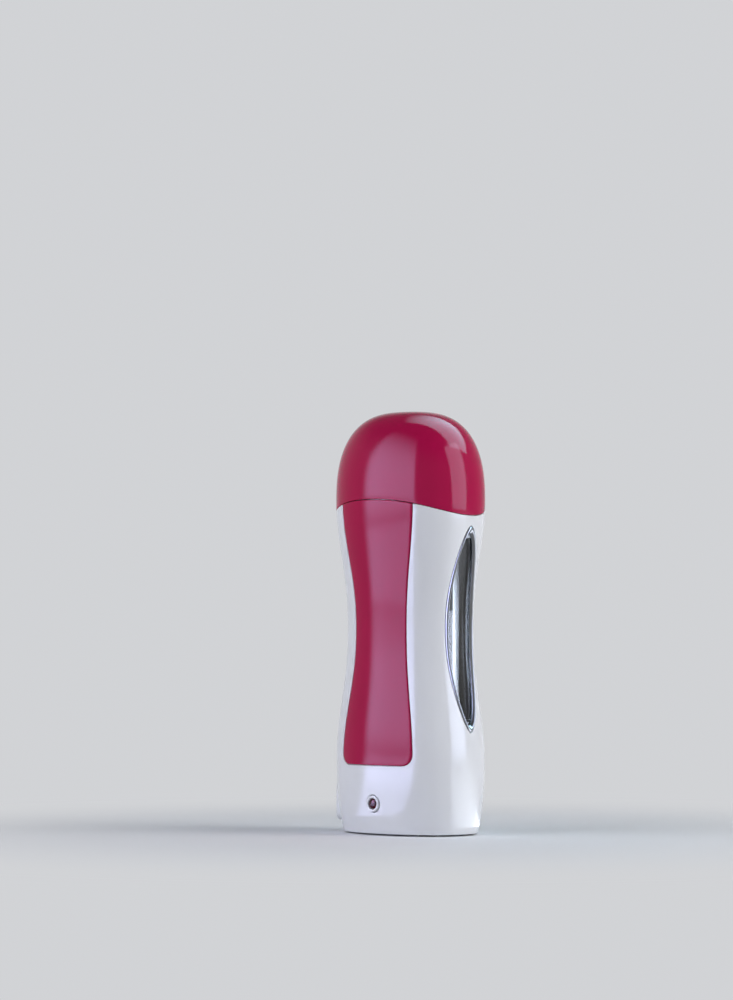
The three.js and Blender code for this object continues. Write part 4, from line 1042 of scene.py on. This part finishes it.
def grain_group():
    """Fine moulded grain and the soft unevenness of a large moulded face."""
    tree, start, end = tree_of("Moulded face", "ShaderNodeTree", [
        ("Grain Scale", "NodeSocketFloat", 1400.0), ("Wave Scale", "NodeSocketFloat", 22.0),
        ("Roughness", "NodeSocketFloat", 0.2), ("Roughness Spread", "NodeSocketFloat", 0.04),
        ("Color", "NodeSocketColor", (0.8, 0.8, 0.8, 1.0)),
        ("Color Spread", "NodeSocketFloat", 0.03),
    ], [("Color", "NodeSocketColor"), ("Roughness", "NodeSocketFloat"),
        ("Height", "NodeSocketFloat")])
    size = start.outputs
    spot = add_node(tree, "ShaderNodeTexCoord").outputs["Object"]
    fine = add_node(tree, "ShaderNodeTexNoise", {
        "Vector": spot, "Scale": size["Grain Scale"], "Detail": 3.0, "Roughness": 0.6})
    wide = add_node(tree, "ShaderNodeTexNoise", {
        "Vector": spot, "Scale": size["Wave Scale"], "Detail": 2.0, "Roughness": 0.5})
    patch = add_node(tree, "ShaderNodeTexNoise", {
        "Vector": spot, "Scale": 160.0, "Detail": 4.0, "Roughness": 0.65})
    both = sum_of(tree, "ADD", wide.outputs[0], patch.outputs[0])
    spread = sum_of(tree, "MULTIPLY", size["Roughness Spread"],
                    sum_of(tree, "SUBTRACT", both, 1.0))
    rough = sum_of(tree, "ADD", size["Roughness"], sum_of(tree, "MULTIPLY", spread, 2.0))
    shade = sum_of(tree, "ADD", 1.0, sum_of(
        tree, "MULTIPLY", size["Color Spread"], sum_of(
            tree, "MULTIPLY", sum_of(tree, "SUBTRACT", wide.outputs[0], 0.5), 2.0)))
    tone = add_node(tree, "ShaderNodeVectorMath", operation="SCALE")
    tree.links.new(size["Color"], tone.inputs[0])
    tree.links.new(shade, tone.inputs["Scale"])
    height = sum_of(tree, "ADD", sum_of(tree, "MULTIPLY", fine.outputs[0], 0.35),
                    sum_of(tree, "MULTIPLY", wide.outputs[0], 0.65))
    tree.links.new(tone.outputs[0], end.inputs["Color"])
    tree.links.new(rough, end.inputs["Roughness"])
    tree.links.new(height, end.inputs["Height"])
    return tree


def scratch_group():
    """Hairline handling marks in two directions, in patches."""
    tree, start, end = tree_of("Handling marks", "ShaderNodeTree", [
        ("Scale", "NodeSocketFloat", 90.0), ("Amount", "NodeSocketFloat", 0.5),
    ], [("Mask", "NodeSocketFloat")])
    size = start.outputs
    spot = add_node(tree, "ShaderNodeTexCoord").outputs["Object"]
    masks = []
    for turn, stretch in ((0.5, 14.0), (-0.9, 18.0)):
        bent = add_node(tree, "ShaderNodeMapping", {
            "Vector": spot, "Rotation": (0.3, turn, turn), "Scale": (stretch, 1.0, 0.6)})
        lines = add_node(tree, "ShaderNodeTexNoise", {
            "Vector": bent.outputs[0], "Scale": size["Scale"], "Detail": 2.0, "Roughness": 0.5})
        far = sum_of(tree, "ABSOLUTE", sum_of(tree, "SUBTRACT", lines.outputs[0], 0.5))
        thin = add_node(tree, "ShaderNodeMapRange", {
            "Value": far, "From Min": 0.0, "From Max": 0.012, "To Min": 1.0, "To Max": 0.0})
        masks.append(thin.outputs[0])
    spread = add_node(tree, "ShaderNodeTexNoise", {"Vector": spot, "Scale": 30.0, "Detail": 1.0})
    gate = add_node(tree, "ShaderNodeMapRange", {
        "Value": spread.outputs[0], "From Min": 0.5, "From Max": 0.68, "To Min": 0.0,
        "To Max": 1.0})
    total = sum_of(tree, "MULTIPLY", sum_of(tree, "MAXIMUM", *masks), gate.outputs[0])
    tree.links.new(sum_of(tree, "MULTIPLY", total, size["Amount"], clamp=True), end.inputs["Mask"])
    return tree


def wear_group():
    """Where an edge is rounded off by handling: the bevelled normal leaves the flat one."""
    tree, start, end = tree_of("Edge wear", "ShaderNodeTree", [
        ("Radius", "NodeSocketFloat", 0.0005), ("Amount", "NodeSocketFloat", 1.0),
        ("Break Up", "NodeSocketFloat", 220.0),
    ], [("Mask", "NodeSocketFloat")])
    size = start.outputs
    soft = add_node(tree, "ShaderNodeBevel", {"Radius": size["Radius"]}, samples=6)
    plain = add_node(tree, "ShaderNodeNewGeometry").outputs["Normal"]
    same = add_node(tree, "ShaderNodeVectorMath", [soft.outputs[0], plain], operation="DOT_PRODUCT")
    edge = add_node(tree, "ShaderNodeMapRange", {
        "Value": same.outputs["Value"], "From Min": 0.985, "From Max": 0.8, "To Min": 0.0,
        "To Max": 1.0})
    spot = add_node(tree, "ShaderNodeTexCoord").outputs["Object"]
    chips = add_node(tree, "ShaderNodeTexNoise", {
        "Vector": spot, "Scale": size["Break Up"], "Detail": 3.0})
    gate = add_node(tree, "ShaderNodeMapRange", {
        "Value": chips.outputs[0], "From Min": 0.35, "From Max": 0.65, "To Min": 0.2,
        "To Max": 1.0})
    total = sum_of(tree, "MULTIPLY", edge.outputs[0], gate.outputs[0])
    tree.links.new(sum_of(tree, "MULTIPLY", total, size["Amount"], clamp=True), end.inputs["Mask"])
    return tree


def brushed_group():
    """Drawn or brushed metal: fine lines along one axis."""
    tree, start, end = tree_of("Drawn metal", "ShaderNodeTree", [
        ("Stretch", "NodeSocketVector", (1.0, 1.0, 0.03)), ("Scale", "NodeSocketFloat", 900.0),
        ("Roughness", "NodeSocketFloat", 0.35), ("Roughness Spread", "NodeSocketFloat", 0.1),
    ], [("Roughness", "NodeSocketFloat"), ("Height", "NodeSocketFloat"),
        ("Shade", "NodeSocketFloat")])
    size = start.outputs
    spot = add_node(tree, "ShaderNodeTexCoord").outputs["Object"]
    long = add_node(tree, "ShaderNodeVectorMath", [spot, size["Stretch"]], operation="MULTIPLY")
    lines = add_node(tree, "ShaderNodeTexNoise", {
        "Vector": long.outputs[0], "Scale": size["Scale"], "Detail": 4.0, "Roughness": 0.6})
    blotch = add_node(tree, "ShaderNodeTexNoise", {"Vector": spot, "Scale": 60.0, "Detail": 3.0})
    mix = sum_of(tree, "SUBTRACT", sum_of(tree, "ADD", lines.outputs[0], blotch.outputs[0]), 1.0)
    tree.links.new(sum_of(tree, "ADD", size["Roughness"], sum_of(
        tree, "MULTIPLY", mix, size["Roughness Spread"])), end.inputs["Roughness"])
    tree.links.new(lines.outputs[0], end.inputs["Height"])
    tree.links.new(blotch.outputs[0], end.inputs["Shade"])
    return tree


GRAIN = grain_group()
SCRATCHES = scratch_group()
WEAR = wear_group()
BRUSHED = brushed_group()


# Materials

def new_material(name):
    material = bpy.data.materials.new(name)
    material.use_nodes = True
    tree = material.node_tree
    shader = tree.nodes["Principled BSDF"]
    return material, tree, shader


def mixed(tree, share, first, second):
    return add_node(tree, "ShaderNodeMix", {0: share, 6: first, 7: second},
                    data_type="RGBA").outputs[2]


def placed_group(tree, group, values):
    return add_node(tree, "ShaderNodeGroup", values, node_tree=group).outputs


def moulded(name, color, *, roughness=0.2, spread=0.03, tint=0.03, bump=0.04, grain=1400.0,
            wave=22.0, wear=0.5, wear_color=None, scratch=0.4, specular=0.5):
    """Moulded plastic: slight unevenness, hairline marks and rubbed edges."""
    material, tree, shader = new_material(name)
    face = placed_group(tree, GRAIN, {
        "Grain Scale": grain, "Wave Scale": wave, "Roughness": roughness,
        "Roughness Spread": spread, "Color": (*color, 1.0), "Color Spread": tint})
    marks = placed_group(tree, SCRATCHES, {"Amount": scratch})
    edges = placed_group(tree, WEAR, {"Amount": wear})
    pale = wear_color or tuple(min(1.0, c * 1.25 + 0.03) for c in color)
    tree.links.new(mixed(tree, edges["Mask"], face["Color"], (*pale, 1.0)),
                   shader.inputs["Base Color"])
    rubbed = sum_of(tree, "ADD", face["Roughness"], sum_of(tree, "ADD", sum_of(
        tree, "MULTIPLY", marks["Mask"], 0.12), sum_of(tree, "MULTIPLY", edges["Mask"], 0.1)))
    tree.links.new(rubbed, shader.inputs["Roughness"])
    dent = add_node(tree, "ShaderNodeBump", {
        "Strength": bump, "Distance": 0.0004, "Height": face["Height"]})
    tree.links.new(dent.outputs[0], shader.inputs["Normal"])
    shader.inputs["Specular IOR Level"].default_value = specular
    return material


def metal(name, color, *, roughness=0.3, spread=0.1, stretch=(1.0, 1.0, 0.03), bump=0.05,
          scale=900.0, wear=0.3, metallic=1.0):
    """Drawn, plated or blasted metal with slightly brighter edges."""
    material, tree, shader = new_material(name)
    face = placed_group(tree, BRUSHED, {
        "Stretch": stretch, "Scale": scale, "Roughness": roughness, "Roughness Spread": spread})
    edges = placed_group(tree, WEAR, {"Amount": wear})
    dull = tuple(c * 0.86 for c in color)
    bright = tuple(min(1.0, c * 1.12) for c in color)
    base = mixed(tree, face["Shade"], (*dull, 1.0), (*color, 1.0))
    tree.links.new(mixed(tree, edges["Mask"], base, (*bright, 1.0)), shader.inputs["Base Color"])
    tree.links.new(face["Roughness"], shader.inputs["Roughness"])
    dent = add_node(tree, "ShaderNodeBump", {
        "Strength": bump, "Distance": 0.0002, "Height": face["Height"]})
    tree.links.new(dent.outputs[0], shader.inputs["Normal"])
    shader.inputs["Metallic"].default_value = metallic
    return material


def clear(name, color, *, roughness=0.03, ior=1.5, bump=0.01, passing=0.0, body=0.0):
    """Clear plastic. passing is the share of a lamp's light that goes straight through, and
    body the share of the plastic that is dyed through."""
    material, tree, shader = new_material(name)
    face = placed_group(tree, GRAIN, {
        "Roughness": roughness, "Roughness Spread": 0.01, "Color": (*color, 1.0),
        "Color Spread": 0.02, "Wave Scale": 30.0})
    marks = placed_group(tree, SCRATCHES, {"Amount": 0.6})
    tree.links.new(face["Color"], shader.inputs["Base Color"])
    tree.links.new(sum_of(tree, "ADD", face["Roughness"], sum_of(
        tree, "MULTIPLY", marks["Mask"], 0.1)), shader.inputs["Roughness"])
    dent = add_node(tree, "ShaderNodeBump", {
        "Strength": bump, "Distance": 0.0004, "Height": face["Height"]})
    tree.links.new(dent.outputs[0], shader.inputs["Normal"])
    shadow = add_node(tree, "ShaderNodeLightPath").outputs["Is Shadow Ray"]
    tree.links.new(sum_of(tree, "SUBTRACT", 1.0, sum_of(tree, "MULTIPLY", shadow, passing)),
                   shader.inputs["Alpha"])
    shader.inputs["Transmission Weight"].default_value = 1.0 - body
    shader.inputs["IOR"].default_value = ior
    return material


WHITE = (0.70, 0.715, 0.75)
MAGENTA = (0.37, 0.003, 0.056)

white_plastic = moulded("white_plastic", WHITE, roughness=0.14, spread=0.03, tint=0.02,
                        bump=0.03, wear=0.25, wear_color=(0.72, 0.735, 0.79), scratch=0.25,
                        specular=0.36)
magenta_plastic = moulded("magenta_plastic", MAGENTA, roughness=0.12, spread=0.03, tint=0.06,
                          bump=0.02, wear=0.3, wear_color=(0.48, 0.03, 0.11), scratch=0.35,
                          specular=0.14)
chrome_trim = metal("chrome_trim", (0.21, 0.214, 0.222), roughness=0.16, spread=0.05,
                    stretch=(1.0, 1.0, 1.0), bump=0.02, scale=300.0)
window_clear = clear("window_clear", (0.93, 0.95, 0.96), roughness=0.03, ior=1.36,
                     passing=0.88)
lamp_red = clear("lamp_red", (0.14, 0.003, 0.016), roughness=0.08, ior=1.36, body=0.35)
circuit_green = moulded("circuit_green", (0.03, 0.11, 0.04), roughness=0.5, spread=0.06,
                        tint=0.2, bump=0.1, grain=700.0, wave=60.0, scratch=0.2)
resistor_tan = moulded("resistor_tan", (0.58, 0.39, 0.19), roughness=0.4, tint=0.1, bump=0.08)
zinc_steel = metal("zinc_steel", (0.46, 0.46, 0.48), roughness=0.36)
nickel = metal("nickel", (0.58, 0.55, 0.50), roughness=0.2, stretch=(0.05, 1.0, 1.0))


def chamber_material():
    """Blasted aluminium outside, coloured dark on the walls and floor inside the well."""
    material = metal("aluminium", (0.86, 0.87, 0.89), roughness=0.5, spread=0.1, bump=0.08,
                     metallic=0.3)
    tree = material.node_tree
    shader = tree.nodes["Principled BSDF"]
    bare = shader.inputs["Base Color"].links[0].from_socket
    spot = add_node(tree, "ShaderNodeSeparateXYZ",
                    [add_node(tree, "ShaderNodeTexCoord").outputs["Object"]]).outputs
    reach = [add_node(tree, "ShaderNodeMapRange", {
        "Value": sum_of(tree, "ABSOLUTE", spot[axis]), "From Min": half, "From Max": half + 0.0002,
        "To Min": 0.0, "To Max": 1.0}).outputs[0] for axis, half in ((0, 0.0227), (1, 0.0137))]
    low = add_node(tree, "ShaderNodeMapRange", {
        "Value": spot[2], "From Min": 0.0573, "From Max": 0.0577, "To Min": 1.0, "To Max": 0.0})
    high = add_node(tree, "ShaderNodeMapRange", {
        "Value": spot[2], "From Min": 0.1618, "From Max": 0.1622, "To Min": 0.0, "To Max": 1.0})
    outside = sum_of(tree, "MAXIMUM", sum_of(tree, "MAXIMUM", *reach), sum_of(
        tree, "MAXIMUM", low.outputs[0], high.outputs[0]))
    # Inside the well the walls and floor take a dark colour in place of the bare metal
    tree.links.new(mixed(tree, outside, (0.09, 0.092, 0.096, 1.0), bare),
                   shader.inputs["Base Color"])
    return material


aluminium = chamber_material()
foot_rubber = moulded("foot_rubber", (0.07, 0.07, 0.075), roughness=0.75, spread=0.08, tint=0.2,
                      bump=0.3, grain=900.0, wear=0.6, wear_color=(0.12, 0.12, 0.125), scratch=0.5)
silicone_grey = moulded("silicone_grey", (0.40, 0.40, 0.41), roughness=0.6, tint=0.08, bump=0.1)
heat_black = moulded("heat_black", (0.035, 0.036, 0.04), roughness=0.55, spread=0.08, tint=0.2,
                     bump=0.2, grain=1100.0, wear=0.5, wear_color=(0.09, 0.09, 0.095))
amber_film = moulded("amber_film", (0.43, 0.19, 0.03), roughness=0.3, tint=0.15, bump=0.05)
ceramic_pale = moulded("ceramic_pale", (0.77, 0.74, 0.67), roughness=0.7, tint=0.1, bump=0.25,
                       grain=1800.0)
felt_dark = moulded("felt_dark", (0.012, 0.012, 0.014), roughness=0.9, spread=0.05, tint=0.5,
                    bump=0.8, grain=2600.0, wave=200.0, wear=0.0, scratch=0.0, specular=0.2)
brown_sleeve = moulded("brown_sleeve", (0.11, 0.035, 0.014), roughness=0.5, tint=0.1, bump=0.1)
blue_sleeve = moulded("blue_sleeve", (0.023, 0.07, 0.26), roughness=0.5, tint=0.1, bump=0.1)

# Making the pieces

HEATER, CAP = "heater_body", "cap"


def dress(piece, material, nodes, rides=HEATER):
    """Gives a finished piece its material, its body and the CAD nodes that it stands for."""
    piece.data.materials.clear()
    piece.data.materials.append(material)
    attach(piece, rides)
    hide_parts(*nodes)
    return piece


dress(body_shell(), white_plastic, ["body_shell"])
dress(front_panel(), magenta_plastic, ["front_panel"])
dress(grown("cap_dome", cap_tree(magenta_plastic)), magenta_plastic,
      ["cap_shell"], rides=CAP)
dress(window_trim(), chrome_trim, ["window_trim"])
dress(window_lens(), window_clear, ["window_lens"])
dress(lamp_ring(), white_plastic, ["lamp_ring"])
dress(lamp_lens(), lamp_red, ["lamp_lens"])
dress(inlet_housing(), white_plastic, ["inlet_housing"])
ears = inlet_ears()
ears.data.materials.append(white_plastic)
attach(ears, HEATER)
dress(inlet_pin("inlet_pin_front", -PIN_OFFSET), nickel, ["inlet_pin_1"])
dress(inlet_pin("inlet_pin_back", PIN_OFFSET), nickel, ["inlet_pin_2"])
dress(neck_collar(), white_plastic, ["neck_collar"])
dress(chamber_cup(), aluminium, ["chamber_cup"])
dress(base_cover(), white_plastic, ["base_cover"])


def foot_pattern():
    """A round foot with a shallow dish underneath."""
    profile = [(2.9, 0.0), (3.3, 0.1), (4.0, 0.0), (4.3, 0.12), (4.5, 0.5), (4.5, 2.0), (4.3, 2.2)]
    body = Body()
    rows = around(profile, 48)
    body.band(rows)
    dish = around([(2.9, 0.0), (2.6, 0.25), (1.2, 0.3)], 48)
    body.band(dish)
    body.fan(dish[-1], (0.0, 0.0, 0.3))
    body.fan(rows[-1], (0.0, 0.0, 2.2))
    return body.piece("foot_pattern")


def screw_pattern(length):
    """A pan-head screw, head down, with a cross recess, shank and thread ridges."""
    end = SCREW_HEAD_HEIGHT + length
    head = [(0.9, 0.62), (1.2, 0.0), (2.2, 0.05), (2.8, 0.35), (3.0, 0.8), (3.0, 1.4),
            (2.85, SCREW_HEAD_HEIGHT), (1.45, SCREW_HEAD_HEIGHT)]
    body = Body()
    steps = 32
    angle = np.linspace(0.0, 2 * math.pi, steps, endpoint=False)
    cross = 0.55 + 0.45 * np.abs(np.cos(2 * angle)) ** 3
    rows = []
    for radius, height in head:
        reach = radius * (cross if radius < 1.5 and height < 1.0 else np.ones(steps))
        rows.append(np.stack([reach * np.cos(angle), reach * np.sin(angle),
                              np.full(steps, height)], axis=1))
    ridge = SCREW_HEAD_HEIGHT
    while ridge < end - 1.6:
        for offset, radius in ((0.25, 1.18), (0.55, 1.45), (0.85, 1.18)):
            rows.append(around([(radius, ridge + offset)], steps)[0])
        ridge += 0.9
    rows.append(around([(1.1, end - 0.9)], steps)[0])
    rows.append(around([(0.35, end)], steps)[0])
    body.band(rows)
    body.fan(rows[0], (0.0, 0.0, 0.7))
    body.fan(rows[-1], (0.0, 0.0, end))
    return body.piece("screw_pattern")


REPEAT = repeat_tree(zinc_steel)


def repeated(name, pattern, places, material, nodes, spread=1.2):
    piece = grown(name, REPEAT, {"Pattern": pattern, "Turn Spread": spread,
                                 "Material": material}, places)
    bpy.data.objects.remove(pattern)
    return dress(piece, material, nodes)


repeated("rubber_feet", foot_pattern(), [(x, y, 0.0) for x, y in FOOT_PLACES], foot_rubber,
         ["foot_1", "foot_2", "foot_3", "foot_4"], spread=0.0)
repeated("base_screws", screw_pattern(14.0), [(x, y, BASE_SCREW_SEAT) for x, y in FOOT_PLACES],
         zinc_steel, ["base_screw_1", "base_screw_2", "base_screw_3", "base_screw_4"])
repeated("cup_screws", screw_pattern(5.8), [(x, 0.0, CUP_SCREW_SEAT) for x in CUP_SCREW_PLACES],
         zinc_steel, ["cup_screw_1", "cup_screw_2"])

kept = {
    "lamp_board": circuit_green, "lamp_resistor": resistor_tan, "chamber_gasket": silicone_grey,
    "chamber_cradle": heat_black, "insulator_sheet_inner": amber_film, "ptc_element": ceramic_pale,
    "insulator_sheet_outer": amber_film, "clamp_strap": zinc_steel, "clamp_screw_1": zinc_steel,
    "clamp_screw_2": zinc_steel, "thermostat": heat_black, "thermal_fuse": ceramic_pale,
    "heat_shield": felt_dark, "wire_live": brown_sleeve, "wire_neutral": blue_sleeve,
}
for node_name, material in kept.items():
    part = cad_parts[node_name]
    part.data.materials.clear()
    part.data.materials.append(material)


# Floor, light and camera

PALE = (0.64, 0.65, 0.67, 1.0)
CAMERA_AZIMUTH = math.radians(42.0)
CAMERA_DISTANCE = 2.0
CAMERA_HEIGHT = 0.12
SENSOR_HEIGHT = 24.0
SEEN_HEIGHT = 0.4751


def seen_directly(tree):
    """One for rays that show the surroundings, in the camera, in gloss and through glass."""
    path = add_node(tree, "ShaderNodeLightPath").outputs
    return sum_of(tree, "MAXIMUM", path["Is Camera Ray"], sum_of(
        tree, "MAXIMUM", path["Is Glossy Ray"], path["Is Transmission Ray"]))


def floor_material():
    """Pale board near the heater, which takes its shadow, and an even backdrop farther out."""
    material, tree, shader = new_material("pale_floor")
    shader.inputs["Base Color"].default_value = (0.75, 0.76, 0.78, 1.0)
    shader.inputs["Specular IOR Level"].default_value = 0.05
    spot = add_node(tree, "ShaderNodeTexCoord").outputs["Object"]
    speck = add_node(tree, "ShaderNodeTexNoise", {"Vector": spot, "Scale": 40.0})
    tree.links.new(sum_of(tree, "ADD", 0.65, sum_of(tree, "MULTIPLY", speck.outputs[0], 0.08)),
                   shader.inputs["Roughness"])
    far = add_node(tree, "ShaderNodeVectorMath", [spot], operation="LENGTH")
    share = add_node(tree, "ShaderNodeMapRange", {
        "Value": far.outputs["Value"], "From Min": 0.05, "From Max": 0.34, "To Min": 0.0,
        "To Max": 1.0}, interpolation_type="SMOOTHERSTEP")
    even = add_node(tree, "ShaderNodeEmission", {"Color": PALE, "Strength": 1.0})
    blend = add_node(tree, "ShaderNodeMixShader", [
        sum_of(tree, "MULTIPLY", share.outputs[0], seen_directly(tree)), shader.outputs[0],
        even.outputs[0]])
    tree.links.new(blend.outputs[0], tree.nodes["Material Output"].inputs["Surface"])
    return material


def make_floor():
    mesh = bpy.data.meshes.new("floor")
    reach = 30.0
    mesh.from_pydata([(-reach, -reach, 0.0), (reach, -reach, 0.0), (reach, reach, 0.0),
                      (-reach, reach, 0.0)], [], [(0, 1, 2, 3)])
    floor = shown("floor", mesh)
    mesh.materials.append(floor_material())


def heading(azimuth, elevation):
    """Direction from the object: azimuth from the front towards +X, elevation upwards."""
    a, e = math.radians(azimuth), math.radians(elevation)
    return Vector((math.sin(a) * math.cos(e), -math.cos(a) * math.cos(e), math.sin(e)))


def softbox(name, direction, distance, width, height, radiance, roll=0.0, color=(1, 1, 1),
            gloss_only=True):
    """A rectangular lamp that faces the object and is seen only in gloss, or else gives only
    diffuse light. Radiance is in watts per square metre."""
    light = bpy.data.lights.new(name, "AREA")
    light.shape = "RECTANGLE"
    light.size = width
    light.size_y = height
    light.energy = radiance * math.pi * width * height
    light.color = color
    lamp = shown(name, light)
    target = Vector((0.0, 0.0, 0.1))
    lamp.location = target + direction.normalized() * distance
    lamp.rotation_euler = direction.to_track_quat("Z", "Y").to_euler()
    lamp.rotation_euler.rotate_axis("Z", roll)
    lamp.visible_camera = False
    if gloss_only:
        lamp.visible_diffuse = False
    else:
        lamp.visible_glossy = False
    return lamp


def shaded(lamp, *ramps):
    """Dims parts of a lamp. A ramp goes from one place to another, measured in metres as "x",
    "y" or "z" or in degrees as "azimuth", and from one share of the light to another."""
    lamp.data.use_nodes = True
    tree = lamp.data.node_tree
    place = add_node(tree, "ShaderNodeSeparateXYZ",
                     [add_node(tree, "ShaderNodeNewGeometry").outputs["Position"]]).outputs
    away = sum_of(tree, "MULTIPLY", place[1], -1.0)
    azimuth = sum_of(tree, "DEGREES", sum_of(tree, "ARCTAN2", place[0], away))
    measures = {"x": place[0], "y": place[1], "z": place[2], "azimuth": azimuth}
    strength = 1.0
    for measure, start, end, first, last in ramps:
        ramp = add_node(tree, "ShaderNodeMapRange", {
            "Value": measures[measure], "From Min": start, "From Max": end, "To Min": first,
            "To Max": last}, interpolation_type="SMOOTHSTEP")
        strength = sum_of(tree, "MULTIPLY", ramp.outputs[0], strength)
    tree.links.new(strength, tree.nodes["Emission"].inputs["Strength"])


def make_world():
    """Dim fill for the light, and a pale wall under a darker ceiling for what is seen."""
    world = bpy.data.worlds.new("studio")
    bpy.context.scene.world = world
    world.use_nodes = True
    tree = world.node_tree
    back = tree.nodes["Background"]
    height = add_node(tree, "ShaderNodeSeparateXYZ",
                      [add_node(tree, "ShaderNodeTexCoord").outputs["Generated"]])
    ceiling = add_node(tree, "ShaderNodeMapRange", {
        "Value": height.outputs["Z"], "From Min": 0.3, "From Max": 0.7, "To Min": 0.0,
        "To Max": 1.0}, interpolation_type="SMOOTHSTEP")
    wall = mixed(tree, ceiling.outputs[0], PALE, (0.2, 0.2, 0.21, 1.0))
    color = mixed(tree, seen_directly(tree), (0.22, 0.22, 0.23, 1.0), wall)
    tree.links.new(color, back.inputs["Color"])
    back.inputs["Strength"].default_value = 1.0


def make_camera():
    data = bpy.data.cameras.new("camera")
    camera = shown("camera", data)
    bpy.context.scene.camera = camera
    right = Vector((math.cos(CAMERA_AZIMUTH), math.sin(CAMERA_AZIMUTH), 0.0))
    back = Vector((math.sin(CAMERA_AZIMUTH), -math.cos(CAMERA_AZIMUTH), 0.0))
    camera.location = back * CAMERA_DISTANCE
    camera.location.z = CAMERA_HEIGHT
    aim = right * -0.0208 + Vector((0.0, 0.0, 0.1581))
    camera.rotation_euler = (camera.location - aim).to_track_quat("Z", "Y").to_euler()
    data.sensor_fit = "VERTICAL"
    data.sensor_height = SENSOR_HEIGHT
    data.lens = SENSOR_HEIGHT * CAMERA_DISTANCE / SEEN_HEIGHT
    data.clip_start = 0.05


def lay_flat(lamp, azimuth, height):
    """Puts a lamp on the floor, shining upwards."""
    lamp.location.z = height
    lamp.rotation_euler = (math.pi, 0.0, math.radians(azimuth))


make_floor()
make_world()
make_camera()
GLOSS_TINT = (0.95, 1.0, 1.65)
LEFT_EDGE = ("azimuth", -51.0, -43.0, 0.0, 1.0)
RIGHT_EDGE = ("azimuth", 6.5, 8.5, 1.0, 0.0)
key = softbox("key", heading(-20.0, 22.0), 1.1, 1.5, 1.7, 7.2, color=GLOSS_TINT)
shaded(key, LEFT_EDGE, RIGHT_EDGE, ("z", -0.05, 0.2, 0.35, 1.0), ("z", 0.4, 1.25, 1.0, 0.0))
softbox("front", heading(-22.5, 14.0), 1.4, 1.3, 1.8, 2.18, color=(0.96, 0.97, 1.03),
        gloss_only=False)
softbox("side", heading(100.0, 18.0), 1.2, 0.9, 1.4, 6.6, color=(0.9, 1.0, 1.3))
softbox("rim", heading(113.0, 18.0), 1.3, 0.75, 1.3, 4.7, gloss_only=False)
gleam = softbox("gleam", Vector((0.12, 0.38, 0.92)), 1.0, 1.45, 0.85, 9.5, roll=0.5,
                color=(0.6, 1.0, 1.2))
shaded(gleam, ("x", -0.7, 0.1, 0.0, 1.0))
table_sheen = softbox("table_sheen", heading(-20.0, 0.0), 0.65, 1.5, 1.2, 6.4, color=GLOSS_TINT)
shaded(table_sheen, LEFT_EDGE, RIGHT_EDGE, ("y", -0.3, -0.1, 1.0, 0.5))
lay_flat(table_sheen, -20.0, 0.002)
side_sheen = softbox("side_sheen", heading(100.0, 0.0), 0.63, 1.8, 1.2, 4.4,
                     color=(0.93, 1.0, 1.12))
shaded(side_sheen, ("azimuth", 77.0, 81.0, 0.0, 1.0), ("azimuth", 115.0, 150.0, 1.0, 0.0),
       ("x", 0.2, 0.45, 1.0, 0.3))
lay_flat(side_sheen, 100.0, 0.004)

scene = bpy.context.scene
scene.view_settings.view_transform = "Standard"

bpy.context.view_layer.update()
